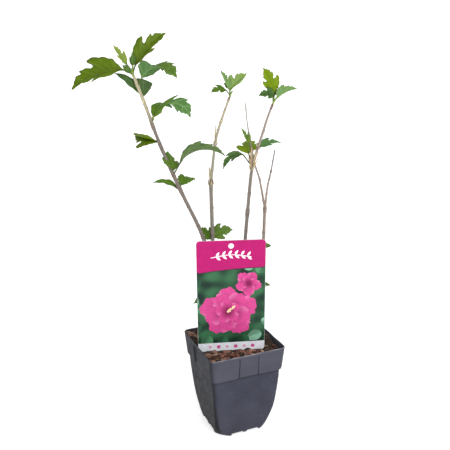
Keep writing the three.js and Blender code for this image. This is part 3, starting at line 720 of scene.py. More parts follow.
def leaf_surface(name, under):
    """Living leaf: waxy and satin above, paler, bluer and matte beneath, with lighter veins.

    The field ribs is whole at each side vein, and across runs from -1 to 1 over the midrib.
    """
    material, tree, place = new_material(name)
    tint = add_node(tree, "Attribute", attribute_name="leaf_tint")
    if under:
        tint = add_node(tree, "Mix", {"Factor": 0.62, 6: tint, 7: linear("#568052")},
                        data_type="RGBA")
    tinted = mottled(tree, tint, place, 0.009, 0.9, 1.1, Detail=3.0)[0]
    ribs = add_node(tree, "Attribute", attribute_name="ribs").outputs["Fac"]
    nearest = add_node(tree, "Math", {0: ribs, 1: 0.5}, operation="PINGPONG")
    across = add_node(tree, "Attribute", attribute_name="across").outputs["Fac"]
    off = add_node(tree, "Math", {0: across}, operation="ABSOLUTE")
    side, middle = (add_node(tree, "MapRange", {0: far, 1: 0.02, 2: 0.08, 3: 1.0, 4: 0.0})
                    for far in (nearest, off))
    veins = add_node(tree, "Math", {0: side, 1: middle}, operation="MAXIMUM")
    shown = add_node(tree, "Math", {0: veins, 1: 0.22 if under else 0.13}, operation="MULTIPLY")
    veined = add_node(tree, "Mix", {"Factor": shown, 6: tinted,
                                    7: linear("#b4cf8f" if under else "#a5c25a")}, data_type="RGBA")
    pores = add_node(tree, "TexNoise", {"Vector": place, "Scale": 1 / 0.0014, "Detail": 1.0})
    height = add_node(tree, "Math", {0: veins, 1: 1.0 if under else -1.0, 2: pores},
                      operation="MULTIPLY_ADD")
    finish(tree, {"Base Color": veined, "Roughness": 0.7 if under else 0.46,
                  "Specular IOR Level": 0.12 if under else 0.16, "Subsurface Weight": 0.12,
                  "Subsurface Scale": 0.0006}, height, 0.00007)
    return material


# ---- Pot ----
def square_reach(angle, half, corner):
    """Distance from the axis to a square with cut corners.

    The square's is half / max(|cos|, |sin|), the corner's is even, and the smaller holds. A high
    power joins the two: (side^-p + corner^-p)^(-1/p).
    """
    side = half / np.maximum(np.abs(np.cos(angle)), np.abs(np.sin(angle)))
    low = np.minimum(side, corner)
    return low * ((side / low) ** -150 + (corner / low) ** -150) ** (-1 / 150)


def pot_profile(wall):
    """The pot's rows from the middle of its underside out, up, over the rim and down inside.

    Each is [height, half side, corner, share of the foot's arch, share of the recess, wear].
    """
    body = Route(POT_BODY).at(np.linspace(0, 1, 42))
    (low, half, corner), (top, rim, rim_corner) = POT_SKIRT
    foot, foot_corner = POT_BODY[0][1:]
    rows = [[0, s * foot, s * foot_corner, smooth((s - 0.86) / 0.03), 0, 0]
            for s in (0.05, 0.3, 0.6, 0.8, 0.86, 0.875, 0.89, 0.93, 0.975)]
    rows += [[0.25, 31.8, 36.9, 1, 0, 0.4]]
    rows += [[z, h, c, hump(z, 0, 2.6) if z else 1, 0, 0.3 * hump(z, 0, 1.5)]
             for z, h, c in body if 0.8 < z < 75.8]
    rows += [[z, h, c, 0, w, 0] for z, h, c, w in (
        (75.9, 41, 54.7, 0), (76.0, 41.7, 56, 0.3), (76.1, 42.4, 57, 0.8), (76.4, 42.72, 57.4, 1))]

    def skirt(z, inset):
        s = (z - low) / (top - low)
        return [z, half + s * (rim - half) - inset, corner + s * (rim_corner - corner) - inset,
                0, 1, 0]

    up = np.r_[np.linspace(76.9, 98, 22), np.linspace(98.3, 99.7, 8), 100.2, 101, 101.8]
    rows += [skirt(z, 0) for z in up]
    rows += [[z, rim - d, rim_corner - d, 0, 0, w] for z, d, w in (
        (102.4, 0.02, 0.3), (102.75, 0.1, 0.8), (102.95, 0.28, 1), (top, 0.5, 1), (top, 0.75, 1),
        (102.93, 0.98, 0.8), (102.7, 1.15, 0.4))]
    rows += [skirt(z, wall) for z in (102, 100.5, 99.5, 98.8, 98, 94, 88, 80, 78)]
    rows += [[z, h - wall, c - wall, 0, 0, 0] for z, h, c in body[::-4] if z > POT_FLOOR + 1]
    rows += [[POT_FLOOR, s * 31, s * 37, 0, 0, 0] for s in (1, 0.6, 0.1)]
    return np.array(rows, float)


def nursery_pot(settings):
    """The pot as rings of a cut square, with recesses, a rolled lip, rounded tabs and foot arches.

    Along a side, x is the distance from its middle. The recess moves the wall in where |x| is
    under half its width, the lip out above it, and the arch lifts the foot between its corners.
    The field edge holds wear and painted highlights by the recesses, the other painted shade.
    """
    quarter = np.unique(np.round(np.concatenate([
        np.arange(-45, 45, 1.2), np.arange(-17, -13.8, 0.2), np.arange(13.8, 17, 0.2),
        np.arange(-29, -27, 0.35), np.arange(27, 29, 0.35)]), 3))
    angle = np.radians((quarter[None] + 90 * np.arange(4)[:, None]).ravel())
    rows = pot_profile(settings.wall / MM)
    z, half, corner, arch, recess, wear = (rows[:, k:k + 1] for k in range(6))
    off = (angle + np.pi / 4) % (np.pi / 2) - np.pi / 4
    reach = square_reach(angle, half, corner)
    x, out = reach * np.sin(off), reach * np.cos(off)
    width = settings.recess_width / MM / 2
    edge = np.abs(x) - width - 0.25 * np.sin(z / 3.1)
    inside = smooth(0.5 - edge / 0.6)
    under_lip = smooth(99.2 - z)
    out = out - settings.recess_depth / MM * recess * inside * under_lip
    lip = smooth((width + 1.5 - np.abs(x)) / 3) * smooth((z - 98.6) / 1.6)
    out = out + 0.45 * lip * np.cos(x / width * 1.2) * (half > 40)
    # The lower corners of the tabs beside the recess are rounded.
    curve = 3.0
    lift = curve - np.sqrt(np.maximum(curve**2 - np.clip(curve - edge, 0, curve) ** 2, 0))
    skirt = smooth((z - 75.85) / 0.2) * smooth((81 - z) / 5) * (recess > 0.2) * (edge > 0)
    height = z + lift * skirt
    # The arch has a small foot in its middle.
    lifted = smooth((17 - np.abs(x)) / 0.9) * (1 - 0.75 * smooth((2.6 - np.abs(x)) / 0.8))
    height = height + 2 * arch * lifted * (z < 20)
    turned = angle - off
    rings = np.stack([out * np.cos(turned) - x * np.sin(turned),
                      out * np.sin(turned) + x * np.cos(turned), height], -1)
    # Wear on the rim and at the foot, plus a painted highlight along the +x edge of each recess.
    wear_and_highlight = wear + 0.25 * recess * hump(edge, 0.6, 0.4) * under_lip * (x > 0)
    # Painted shade: a dark line along the step of each recess, fainter at its +x edge.
    step = np.where(x < 0, hump(edge, -0.9, 0.5), 0.5 * hump(edge, -0.2, 0.35))
    # Painted shade over the whole -X side, darkest towards the foot.
    far_side_shade = 0.72 + 0.26 * smooth((70 - z) / 50)
    far_side_shade = far_side_shade * smooth((-np.cos(angle) - 0.68) / 0.06) * (z > 0)
    # Painted shadow in a band just under the skirt, joined with the painted shade above.
    seam = np.maximum(recess * step * under_lip + hump(z, 75.4, 1.1) * (half < 42), far_side_shade)
    pile = Pile()
    pile.add(rings, edge=wear_and_highlight, seam=np.clip(seam, 0, 1))
    return pile


# ---- Soil ----
def card_place(x, y):
    """Where places on the soil lie along the card's foot, and how far they lie behind it."""
    turn = np.radians(CARD_TURN)
    across = (x - CARD_FOOT[0]) * np.cos(turn) + (y - CARD_FOOT[1]) * np.sin(turn)
    return across, (y - CARD_FOOT[1]) * np.cos(turn) - (x - CARD_FOOT[0]) * np.sin(turn)


def from_trunk(x, y):
    """Distance from the trunk's foot."""
    return np.hypot(x - TRUNK["route"][0][0], y - TRUNK["route"][0][1])


def soil_height(x, y, level):
    """The soil's top: crumbs of 9 mm and 3 mm on a level that rises behind the card.

    A mound lies round the trunk.
    """
    mound = 1.6 * np.exp(-from_trunk(x, y) ** 2 / 130)
    behind = np.maximum(smooth((card_place(x, y)[1] - 2) / 7), smooth((x - 31) / 4))
    rise = 8 * smooth((y + np.where(x > 0, 1.25, 0.85) * np.abs(x) - 14) / 30) * behind
    return level + rise + 0.7 * ripples(x, y, 9, 3) + 0.35 * ripples(x, y, 3, 4) + mound


def potting_soil(settings):
    """The root ball: rings of the pot's inside, then its uneven top drawn in to the middle."""
    angle = turns(220)
    inset = POT_WALL + POT_GAP
    level = settings.top / MM
    rows = Route(POT_BODY + POT_SKIRT).at(np.linspace(0.05, 1, 14))
    rows = rows[(rows[:, 0] > 3.5) & (rows[:, 0] < 91)]
    rings = []
    for z, half, corner in rows:
        reach = square_reach(angle, half - inset - 1.1 * (z > 74), corner - inset)
        rings.append(np.stack([reach * np.cos(angle), reach * np.sin(angle), z + 0 * angle], -1))
    for share in np.r_[1, np.linspace(0.985, 0.03, 52)]:
        reach = share * square_reach(angle, SOIL_EDGE[0] - inset - 0.5, SOIL_EDGE[1] - inset)
        x, y = reach * np.cos(angle), reach * np.sin(angle)
        top = soil_height(x, y, level) if share < 1 else level - 1.2 + 0 * x
        rings.append(np.stack([x, y, top], -1))
    pile = Pile()
    pile.add(np.array(rings))
    return pile


def card_clearance(x, y):
    """The lesser distance at the soil from the card's plane and from the trunk."""
    across, behind = card_place(x, y)
    card = np.where(np.abs(across) < 40, np.abs(behind), 99)
    return np.minimum(card, from_trunk(x, y) - 6)


def lumps(pile, rng, at, size, colours, rows=8, sides=9):
    """Flattened lumps: an ellipsoid's rings, each point moved in or out at random, then turned.

    The three half sizes run along, across and through a lump.
    """
    polar = np.linspace(0.12, np.pi - 0.12, rows)[:, None]
    angle = turns(sides)[None]
    for place, half, colour in zip(at, size, colours):
        rough = 1 + rng.uniform(-0.2, 0.2, (rows, sides))
        square = np.sign(np.cos(angle)) * np.abs(np.cos(angle)) ** 0.6
        lump = np.stack(np.broadcast_arrays(
            np.cos(polar) * half[0], rough * np.sin(polar) ** 0.5 * square * half[1],
            rough * np.sin(polar) ** 0.5 * np.sin(angle) * half[2]), -1)
        a, b, c = rng.uniform(-0.5, 0.5), rng.uniform(-0.45, 0.45), rng.uniform(0, 2 * np.pi)
        turn = Matrix.Rotation(c, 3, "Z") @ Matrix.Rotation(b, 3, "Y") @ Matrix.Rotation(a, 3, "X")
        pile.add(lump @ np.array(turn).T + place, chip_tint=linear(colour))


def scattered(rng, kind, count):
    """Random places for one kind of litter, less those too near the card or the trunk."""
    reach, clear = LITTER[kind]
    spots = rng.uniform(-reach, reach, (count, 2))
    return spots[card_clearance(*spots.T) > clear]


def soil_litter(settings):
    """Bark chips, more and redder in front and at the left, with crumbs and straw all over."""
    rng = np.random.default_rng(21)
    level = settings.top / MM
    length = settings.chip_length / MM
    spots = scattered(rng, "chips", 4000)
    behind = 0.6 * spots[:, 0] + 0.8 * spots[:, 1] > 8
    kept = ~behind | (rng.uniform(size=len(spots)) < 0.45)
    spots, behind = (values[kept][:settings.chips] for values in (spots, behind))
    count = len(spots)
    long = length * rng.uniform(0.5, 1.35, count) * np.where(behind, 0.7, 1)
    size = np.stack([long / 2, long * rng.uniform(0.24, 0.36, count),
                     rng.uniform(0.5, 1.1, count)], -1)
    z = soil_height(*spots.T, level) + 0.25
    red = ["#7d503f", "#8f6150", "#a87c68", "#633e31", "#bf9b86", "#563529", "#987868", "#3c2720"]
    dark = ["#34251c", "#4a3426", "#281d17", "#5a4231", "#7d614a"]
    colours = np.where(behind, rng.choice(dark, count), rng.choice(red, count))
    pile = Pile()
    lumps(pile, rng, np.c_[spots, z], size, colours)
    crumbs = scattered(rng, "crumbs", 560)
    half = rng.uniform(0.4, 1.0, (len(crumbs), 1)) * [1, 0.8, 0.7]
    shade = rng.choice(["#33261d", "#4b3527", "#2a201a", "#5c4130", "#7b5c46"], len(crumbs))
    z = soil_height(*crumbs.T, level) + 0.3
    lumps(pile, rng, np.c_[crumbs, z], half, shade, rows=5, sides=6)
    # One long chip leans on the wall at the back right.
    lumps(pile, rng, [[34, 24.5, 103.2]], [[4.6, 1.6, 0.8]], ["#6d4a37"])
    for x, y in scattered(rng, "straw", 110):
        heading = direction(rng.uniform(0, 360), rng.uniform(-6, 14))
        middle = np.array([x, y, soil_height(x, y, level) + 0.5])
        reach = rng.uniform(2, 5.5)
        bend = rng.normal(0, 0.6, 3) * [1, 1, 0.4]
        route = Route([middle - heading * reach, middle + bend, middle + heading * reach])
        share = np.linspace(0, 1, 9)
        thin = rng.uniform(0.14, 0.34) * rounded_ends(share, 0.1, 0.1)
        line = np.clip(route.at(share), [-42, -42, 0], [42, 42, 104])
        colour = rng.choice(["#b49a74", "#8a6e4f", "#6b523b", "#c9b48e"])
        pile.add(tube(line, thin, 6), chip_tint=linear(colour))
    return pile


# ---- Card ----
def on_card(x, y, z):
    """Places a point of the upright card, leant by a turn about X, then turned about Z."""
    lean, turn = np.radians(CARD_LEAN), np.radians(CARD_TURN)
    x, y, z = np.broadcast_arrays(*(np.asarray(v, float) for v in (x, y, z)))
    y, z = y * np.cos(lean) - z * np.sin(lean), y * np.sin(lean) + z * np.cos(lean)
    x, y = x * np.cos(turn) - y * np.sin(turn), x * np.sin(turn) + y * np.cos(turn)
    return np.stack([x, y, z], -1) + CARD_FOOT


def card_outline(half, low, high, corner):
    """A rectangle with quarter circles for corners, in even steps from the lower right."""
    quarter = np.linspace(-np.pi / 2, 0, 18)
    middles = [(half - corner, low + corner), (half - corner, high - corner),
               (corner - half, high - corner), (corner - half, low + corner)]
    arcs = [np.stack([x + corner * np.cos(quarter + k * np.pi / 2),
                      z + corner * np.sin(quarter + k * np.pi / 2)], -1)
            for k, (x, z) in enumerate(middles)]
    line = np.concatenate([*arcs, arcs[0][:1]])
    walked = np.r_[0, np.cumsum(np.linalg.norm(np.diff(line, axis=0), axis=1))]
    steps = np.linspace(0, walked[-1], 300, endpoint=False)
    return np.stack([np.interp(steps, walked, axis) for axis in line.T], -1)


def plate(pile, outline, front, back, middle, ink, rows):
    """A thin flat plate: its outline drawn in towards a middle in rows in front, shut behind.

    The ink is a function of the place on the card, so a colour can shade across the plate.
    """
    share = np.r_[np.linspace(0.04, 1, rows), 1]
    spot = middle + share[:, None, None] * (outline - middle)
    depth = np.r_[np.full(rows, -front), -back][:, None]
    pile.add(on_card(spot[..., 0], depth, spot[..., 1]), ink_tint=ink(spot))


def holed_plate(pile, outline, hole, centre, front, back, **fields):
    """A plate with a round hole: each outline point is joined to the hole's rim, front and back."""
    rim = centre + hole * unit(outline - centre)
    share = np.r_[np.linspace(0, 1, 8), np.linspace(1, 0, 8)][:, None, None]
    spot = rim + share * (outline - rim)
    depth = np.r_[np.full(8, -front), np.full(8, -back)][:, None]
    pile.add(on_card(spot[..., 0], depth, spot[..., 1]), loop=True, **fields)


def plain(colour):
    """An even ink."""
    return lambda spot: np.array(colour)


def disc(centre, radius, count):
    """The outline of a round spot."""
    return centre + radius * np.stack([np.cos(turns(count)), np.sin(turns(count))], -1)


def petal_outline(centre, heading, length, width, seed):
    """A petal: half width width * sin(pi s^1.15)^0.62 along it, with a ruffled outer edge."""
    s = np.linspace(0, 1, 60)
    half = width * np.sin(np.pi * s**1.15) ** 0.62
    edges = []
    for side, draw in ((1, seed), (-1, seed + 50)):
        ruffle = 0.07 * ripples(s * 9, 0 * s + side * seed, 1.3, draw)
        ruffle = 1 + ruffle * smooth((s - 0.35) / 0.3)
        edges.append(np.stack([s * length * ruffle, side * half * ruffle], -1))
    return centre + spun(np.concatenate([edges[1][-2:0:-1], edges[0][1:-1]]), heading)


def petal_ink(centre, heading, length, pale, deep, glow):
    """Deep at the throat, paler outwards, with fine rays and a light edge along one side."""
    pale, deep, glow = (np.array(c) for c in (pale, deep, glow))

    def ink(spot):
        off = spot - centre
        far = np.linalg.norm(off, axis=-1, keepdims=True) / length
        turned = np.arctan2(off[..., 1:], off[..., :1]) - np.radians(heading)
        turned = (turned + np.pi) % (2 * np.pi) - np.pi
        tone = deep + (pale - deep) * smooth(far * 1.25 - 0.08)
        rays = 0.11 * np.sin(turned * 46 + 3 * far) * hump(far, 0.5, 0.4)
        side = smooth((turned - 0.12) / 0.5) * smooth(far * 1.6 - 0.55)
        return np.clip(tone * (1 - rays) + (glow - tone) * 0.65 * side, 0, 1)

    return ink


def print_leaf(pile, foot, heading, length, width, layer, colour):
    """A printed leaf: half width width * sin(pi s^0.7), toothed, lighter along its midrib."""
    s = np.linspace(0, 1, 34)
    half = width * np.sin(np.pi * s**0.7) * (1 + 0.12 * np.abs((s * 7) % 1 - 0.5))
    loop = np.concatenate([np.stack([s * length, -half], -1)[1:],
                           np.stack([s * length, half], -1)[-2:0:-1]])
    lit = np.array(linear(colour))

    def ink(spot):
        local = spun(spot - foot, -heading)
        rib = hump(local[..., 1:], 0, 0.35)
        side = smooth(local[..., 1:] / width + 0.5)
        return np.clip(lit * (0.55 + 0.6 * side) * (1 + 0.5 * rib), 0, 1)

    outline = np.clip(foot + spun(loop, heading), *LEAF_AREA)
    middle = np.clip(foot + spun(np.array([0.45 * length, 0]), heading), [-36, 11], [36, 100])
    plate(pile, outline, PRINT["leaves"] + layer, 0.45, middle, ink, 7)


def print_field(pile, half, high):
    """The picture's ground: dark green with soft lighter patches, and loose leaves round it."""
    dark, mid = np.array(linear("#122c22")), np.array(linear("#356845"))

    def field(spot):
        patch = smooth(0.5 + 0.55 * ripples(spot[..., 0], spot[..., 1], 22, 8))
        return dark + (mid - dark) * patch[..., None]

    outline = card_outline(half - PRINT_MARGIN, PICTURE_FOOT, high - PICTURE_DROP, 0.6)
    plate(pile, outline, PRINT["field"], 0.4, np.array([0, 60]), field, 60)
    rng = np.random.default_rng(5)
    greens = ["#2c5b3f", "#4d8560", "#6fa384", "#33684a", "#7fb095", "#214a35"]
    spots = [[-33, 88, 200], [-20, 97, 150], [30, 93, 60], [34, 70, -20], [-35, 62, 170],
             [-33, 34, 215], [33, 38, -40], [12, 20, -70], [-8, 19, -110], [24, 99, 130],
             [-34, 48, 120], [35, 52, 20], [-24, 20, 250], [34, 22, 200], [4, 98, 80]]
    for x, z, heading in spots:
        print_leaf(pile, np.array([x, z]), heading + rng.uniform(-15, 15), rng.uniform(14, 24),
                   rng.uniform(5, 8), rng.uniform(0.01, 0.03), rng.choice(greens))


def print_blossoms(pile, pale):
    """An open blossom low at the left with its stamens, and a half-open one high at the right."""
    deep, glow = linear("#7d0f49"), linear("#e58fbb")
    layer = PRINT["petals"]
    for x, z, size, first, count in PETALS:
        centre = np.array([x, z])
        for k in range(count):
            heading = first + 360 * k / count + 5 * np.sin(7 * k + size)
            long = size * (1 + 0.06 * np.cos(3 * k + size))
            outline = petal_outline(centre, heading, long, long * 0.42, k + size)
            outline = np.clip(outline, *PETAL_AREA)
            inward = centre + spun(np.array([0.55 * long, 0]), heading)
            layer += 0.006
            plate(pile, outline, layer, 0.45, inward,
                  petal_ink(centre, heading, long, pale, deep, glow), 16)
    for k in range(9):
        spot = PETALS[0][:2] + np.array([0.9 * k, 0.75 * k + 0.9 * np.sin(2.4 * k)])
        plate(pile, disc(spot, 1.35 - 0.06 * k, 24), layer + 0.02, 0.5, spot,
              plain(linear("#f6dcae")), 3)


def print_band(pile, half, high, hole, colour):
    """The band at the top, a dark line along its curved lower edge, and a plain white sprig."""
    band = card_outline(half - PRINT_MARGIN, high - BAND_DEPTH, high - PRINT_MARGIN,
                        CARD_CORNER - 0.1)
    lower = band[:, 1] < high - 25
    sag = 2.6 * (band[:, 0] / half) - 1.4 * (band[:, 0] / half) ** 2
    for drop, front, ink in ((0.8, PRINT["line"], linear("#3b1630")), (0, PRINT["band"], colour)):
        curved = np.stack([band[:, 0], band[:, 1] + lower * (sag - drop)], -1)
        holed_plate(pile, curved, 3.05, hole, front, CARD_THICKNESS, ink_tint=ink)
    white = plain(linear("#fdf3f8"))
    t = np.linspace(0, 1, 40)
    bow = np.stack([44 * t - 22, high - 19.5 + 3 * np.sin(np.pi * t)], -1)
    stem = np.concatenate([bow - [0, 0.35], (bow + [0, 0.35])[::-1]])
    plate(pile, stem, PRINT["marks"], 0.6, bow[20], white, 3)
    slim = 0.2 * np.sin(np.pi * t)
    leaf = 6.4 * np.concatenate([np.stack([t, slim], -1), np.stack([t, -slim], -1)[-2:0:-1]])
    for k in range(6):
        for side in (-1, 1):
            outline = bow[5 + 6 * k] + spun(leaf, side * 48 + 8)
            plate(pile, outline, PRINT["marks"], 0.6, outline.mean(0), white, 3)


def print_strip(pile, half):
    """The pale strip at the foot, with plain round dots."""
    strip = card_outline(half - PRINT_MARGIN, PRINT_MARGIN, STRIP_HEIGHT, CARD_CORNER - 0.1)
    upper = strip[:, 1] > 8
    strip[:, 1] = np.where(upper, 10.6 + 0.5 * strip[:, 0] / half, strip[:, 1])
    plate(pile, strip, PRINT["strip"], 0.4, np.array([0, 5.5]), plain(linear("#f3f7ff")), 4)
    for k in range(6):
        spot = np.array([-24 + 9.6 * k, 5.5])
        radius, code = (2.2, "#d95f9e") if k % 2 else (1.7, "#e8a3c6")
        plate(pile, disc(spot, radius, 28), PRINT["marks"], 0.6, spot, plain(linear(code)), 3)


def picture_card(settings):
    """The white card, and its printed front: field, generic blossoms, band, strip and dots.

    Each printed shape is a very thin plate on the card, those further forward a little higher.
    """
    half, high = settings.width / MM / 2, settings.height / MM
    hole = np.array([0, high - HOLE_DROP])
    stock = Pile()
    holed_plate(stock, card_outline(half, 0, high, CARD_CORNER), 3, hole, CARD_THICKNESS, 0)
    made = Pile()
    print_field(made, half, high)
    print_blossoms(made, settings.blossom)
    print_band(made, half, high, hole, tuple(settings.band))
    print_strip(made, half)
    return stock, made


def card_stake():
    """The stake: a 9 mm by 0.9 mm strip with a shallow groove, pointed at its lower end.

    A section is a rounded oblong: across = 4.5 |cos a|^0.25 and through = 0.45 |sin a|^0.5.
    """
    z = np.r_[np.linspace(-48, -38, 12), np.linspace(-34, 92, 24), 94.6, 95.6, 96]
    angle = turns(48)
    across = np.sign(np.cos(angle)) * np.abs(np.cos(angle)) ** 0.25
    through = np.sign(np.sin(angle)) * np.abs(np.sin(angle)) ** 0.5
    width = 4.5 * np.clip((z + 48.6) / 10, 0.06, 1) * np.where(z > 95, 0.93, 1)
    groove = 1 - 0.35 * (through > 0) * hump(across, 0, 0.45)
    x = width[:, None] * across
    y = POT_GAP + 0.45 + 0.45 * (through * groove)[None] + 0 * x
    pile = Pile()
    pile.add(on_card(x, y, z[:, None]))
    return pile


# ---- Trunk, stems and twigs ----
def trunk_skin():
    """The trunk as rings whose radius is a taper, a flare, and ripples of 0.12 mm.

    The flare falls off by exp(-3 (z - 0.3)^2) over its height and has lobes: 1 + 0.25 cos 3a.
    """
    route = Route(TRUNK["route"])
    share, angle = np.linspace(0, 1, 44), turns(36)[None]
    foot, top = TRUNK["radius"]
    rise = share[:, None] * route.length / TRUNK_FLARE[1]
    flare = TRUNK_FLARE[0] * np.exp(-3 * np.maximum(rise - 0.3, 0) ** 2)
    radius = foot + share[:, None] * (top - foot) + flare * (1 + 0.25 * np.cos(3 * angle + 0.6))
    radius = radius + 0.12 * ripples(3 * np.cos(angle), 3 * np.sin(angle) + rise, 1.6, 2)
    radius = radius * rounded_ends(share, 0, 0.16)[:, None]
    pile = Pile()
    pile.add(tube(route.at(share), radius, 36), bark_tint=linear("#7c7063"), knot=0.0)
    return pile


def limb_radius(spec, share):
    """An even taper with a bell for each swollen node, the highest bell holding."""
    foot, tip = spec["radius"]
    bells = [height * hump(share, at, KNOB_LENGTH) for at, height, _ in spec["knobs"]]
    return foot + share * (tip - foot) + np.max([np.zeros_like(share), *bells], axis=0)


def limb_nodes(name, length):
    """Where the old nodes are along a limb, as shares, with the angle of each one's bud."""
    count = max(int(length / NODE_SPACING), 2)
    rng = np.random.default_rng(seed_of(name))
    share = (np.arange(count) + 0.5 + rng.uniform(-0.2, 0.2, count)) / count
    return share, (2.4 * np.arange(count) + rng.uniform(-0.4, 0.4, count)) % (2 * np.pi)


def limb_skin(name, spec, settings):
    """A limb as rings along its route, and its dead stubs.

    The radius is its taper and knobs, plus fine ridges, plus at each old node a low collar, a
    groove above it and a leaf scar on one side.
    """
    route = Route(spec["route"])
    rows = int(route.length / (settings.step / MM))
    sides = 22
    share = np.linspace(0, 1, rows)
    angle = turns(sides)[None]
    walked = share[:, None] * route.length
    seed = seed_of(name)
    x, y = 3.2 * np.cos(angle), 3.2 * np.sin(angle)
    ridges = ripples(x, y + walked / 5, 1.5, seed) + 0.6 * ripples(x, walked / 2, 1.1, seed + 1)
    radius = limb_radius(spec, share)[:, None] + settings.relief / MM * ridges
    knot = np.zeros_like(radius)
    thick = spec["radius"][0]
    for at, bud in zip(*limb_nodes(name, route.length)):
        off = walked - at * route.length
        near = np.cos(angle - bud)
        radius = radius + 0.07 * thick * hump(off, 0, 1.6) - 0.1 * hump(off, 1.5, 0.35)
        radius = radius + 0.4 * hump(off, -0.3, 0.9) * smooth((near - 0.55) / 0.35)
        knot = np.maximum(knot, 0.14 * hump(off, 0.6, 0.9))
    for at, _, dark in spec["knobs"]:
        off = walked - at * route.length
        radius = radius - 0.14 * hump(off, 0.9, 0.4) - 0.1 * hump(off, -1.1, 0.4)
        knot = np.maximum(knot, dark * hump(off, 0, 1.5))
    radius = radius * rounded_ends(share, 0, 1.1 / route.length)[:, None]
    foot, tip = (np.array(linear(c)) for c in spec["colours"])
    start, stop = spec.get("fade", [0.12, 0.88])
    blend = smooth((share - start) / (stop - start))[:, None, None]
    # The side away from the light is browner.
    brown = np.array(linear("#5d4e48"))
    tint = foot + (tip - foot) * blend
    tint = tint + 0.45 * smooth(-np.cos(angle - 0.6))[..., None] * (brown - tint)
    pile = Pile()
    pile.add(tube(route.at(share), radius, sides), bark_tint=tint, knot=knot)
    for at, end, wide, thin in spec.get("stubs", []):
        start = route.at(at)
        share = np.linspace(0, 1, 30)
        line = start + share[:, None] * (np.array(end) - start)
        line = line + 0.3 * np.sin(3 * np.pi * share)[:, None] * [1, 0.4, 0]
        stub = (wide + share * (thin - wide)) * rounded_ends(share, 0, 0.06)
        rough = ripples(np.cos(angle[:, :12]) * 2, share[:, None] * 9, 1.2, seed)
        pale = tip + (np.array(linear("#b9a582")) - tip) * share[:, None, None] ** 0.3
        pile.add(tube(line, stub[:, None] + 0.06 * rough, 12), bark_tint=pale,
                 knot=0.7 * hump(share, 1, 0.12)[:, None])
    return pile


def dry_scales():
    """Tufts of dry bud scales about old nodes: cones of radius r (1 - s)^0.7, bent outwards."""
    pile = Pile()
    share = np.linspace(0, 1, 10)[:, None]
    straw = ["#cfbd93", "#b59f76", "#dccfa9", "#a68a66"]
    for name, spec in LIMBS.items():
        route = Route(spec["route"])
        rng = np.random.default_rng(seed_of(name) + 9)
        for at, count, length in spec.get("tufts", []):
            heading = route.heading(at)
            radius = limb_radius(spec, at)
            for k in range(count):
                out = outward(heading, 2 * np.pi * (k + rng.uniform(-0.3, 0.3)) / count)
                foot = route.at(at) + heading * rng.uniform(-2, 2)
                long = length * rng.uniform(0.6, 1.25)
                lean = rng.uniform(0.1, 0.5)
                line = foot + out * (radius - 0.3) + share * long * unit(heading + lean * out)
                line = line + out * (share**2 * rng.uniform(-0.6, 1.2))
                thin = rng.uniform(0.5, 0.8) * (1.001 - share[:, 0]) ** 0.7
                pile.add(tube(line, thin, 8), bark_tint=linear(rng.choice(straw)), knot=0.0)
    return pile


def dormant_buds():
    """A small pointed bud above each old node: an egg of radius r sin(pi s^0.75) along the stem."""
    pile = Pile()
    for name, spec in LIMBS.items():
        route = Route(spec["route"])
        for k, (at, turn) in enumerate(zip(*limb_nodes(name, route.length))):
            centre, heading = route.at(at + 1.2 / route.length), route.heading(at)
            out = outward(heading, turn)
            radius = limb_radius(spec, at)
            size = 1.5 + 0.5 * np.sin(3.1 * k)
            foot = centre + out * (radius - 0.35)
            share = np.linspace(0, 1, 9)
            line = foot + share[:, None] * size * unit(heading + 0.45 * out)
            pile.add(tube(line, 0.42 * size * egg(share, 0.75), 9), bark_tint=linear("#8a7a5c"),
                     knot=0.45 * (1 - share)[:, None])
    return pile


# ---- Leaves and buds ----
def spray_base(spray):
    """Where a spray's stalks start: on its limb, or a third of the way up the shoot at its tip."""
    limb, at = spray[:2]
    route = Route(LIMBS[limb]["route"])
    if at < 1:
        return route.at(at)
    return route.at(1) + route.heading(1) * (SHOOT_GAP + SHOOT_LENGTH / 3)


def leaf_rows(count, tooth, seed, plain):
    """The half outline at even steps of a curve through its table, with rounded teeth.

    A tooth is set out square to the margin by sin(pi x^1.6)^0.8, and some are larger. A plain
    leaf goes over to a lens without lobes: across = 0.3 sin(pi s^0.8).
    """
    step = np.linspace(0, 1, count)
    rib, across, along, veins = Route(HALF_LEAF).at(step).T
    across = across + plain * (0.3 * np.sin(np.pi * step**0.8) - across)
    along = along + plain * (step - along)
    rib = rib + plain * (step**1.3 - rib)
    tooth = tooth * (1 - 0.8 * plain)
    across, along = np.maximum(across, NARROWEST), np.minimum(along, 1)
    out = unit(np.stack([np.gradient(along), -np.gradient(across)], -1))
    saw = (step * TEETH) % 1
    size = tooth * (1 + 0.45 * ripples(step * TEETH, 0 * step, 3, seed))
    depth = size * (np.sin(np.pi * saw**1.6) ** 0.8 - 0.35)
    depth = depth * smooth(step * 6) * smooth((1 - step) * 9)
    across = np.maximum(across + depth * out[:, 0], NARROWEST)
    return np.clip(rib, 0, 1), across, np.minimum(along + depth * out[:, 1], 1), veins


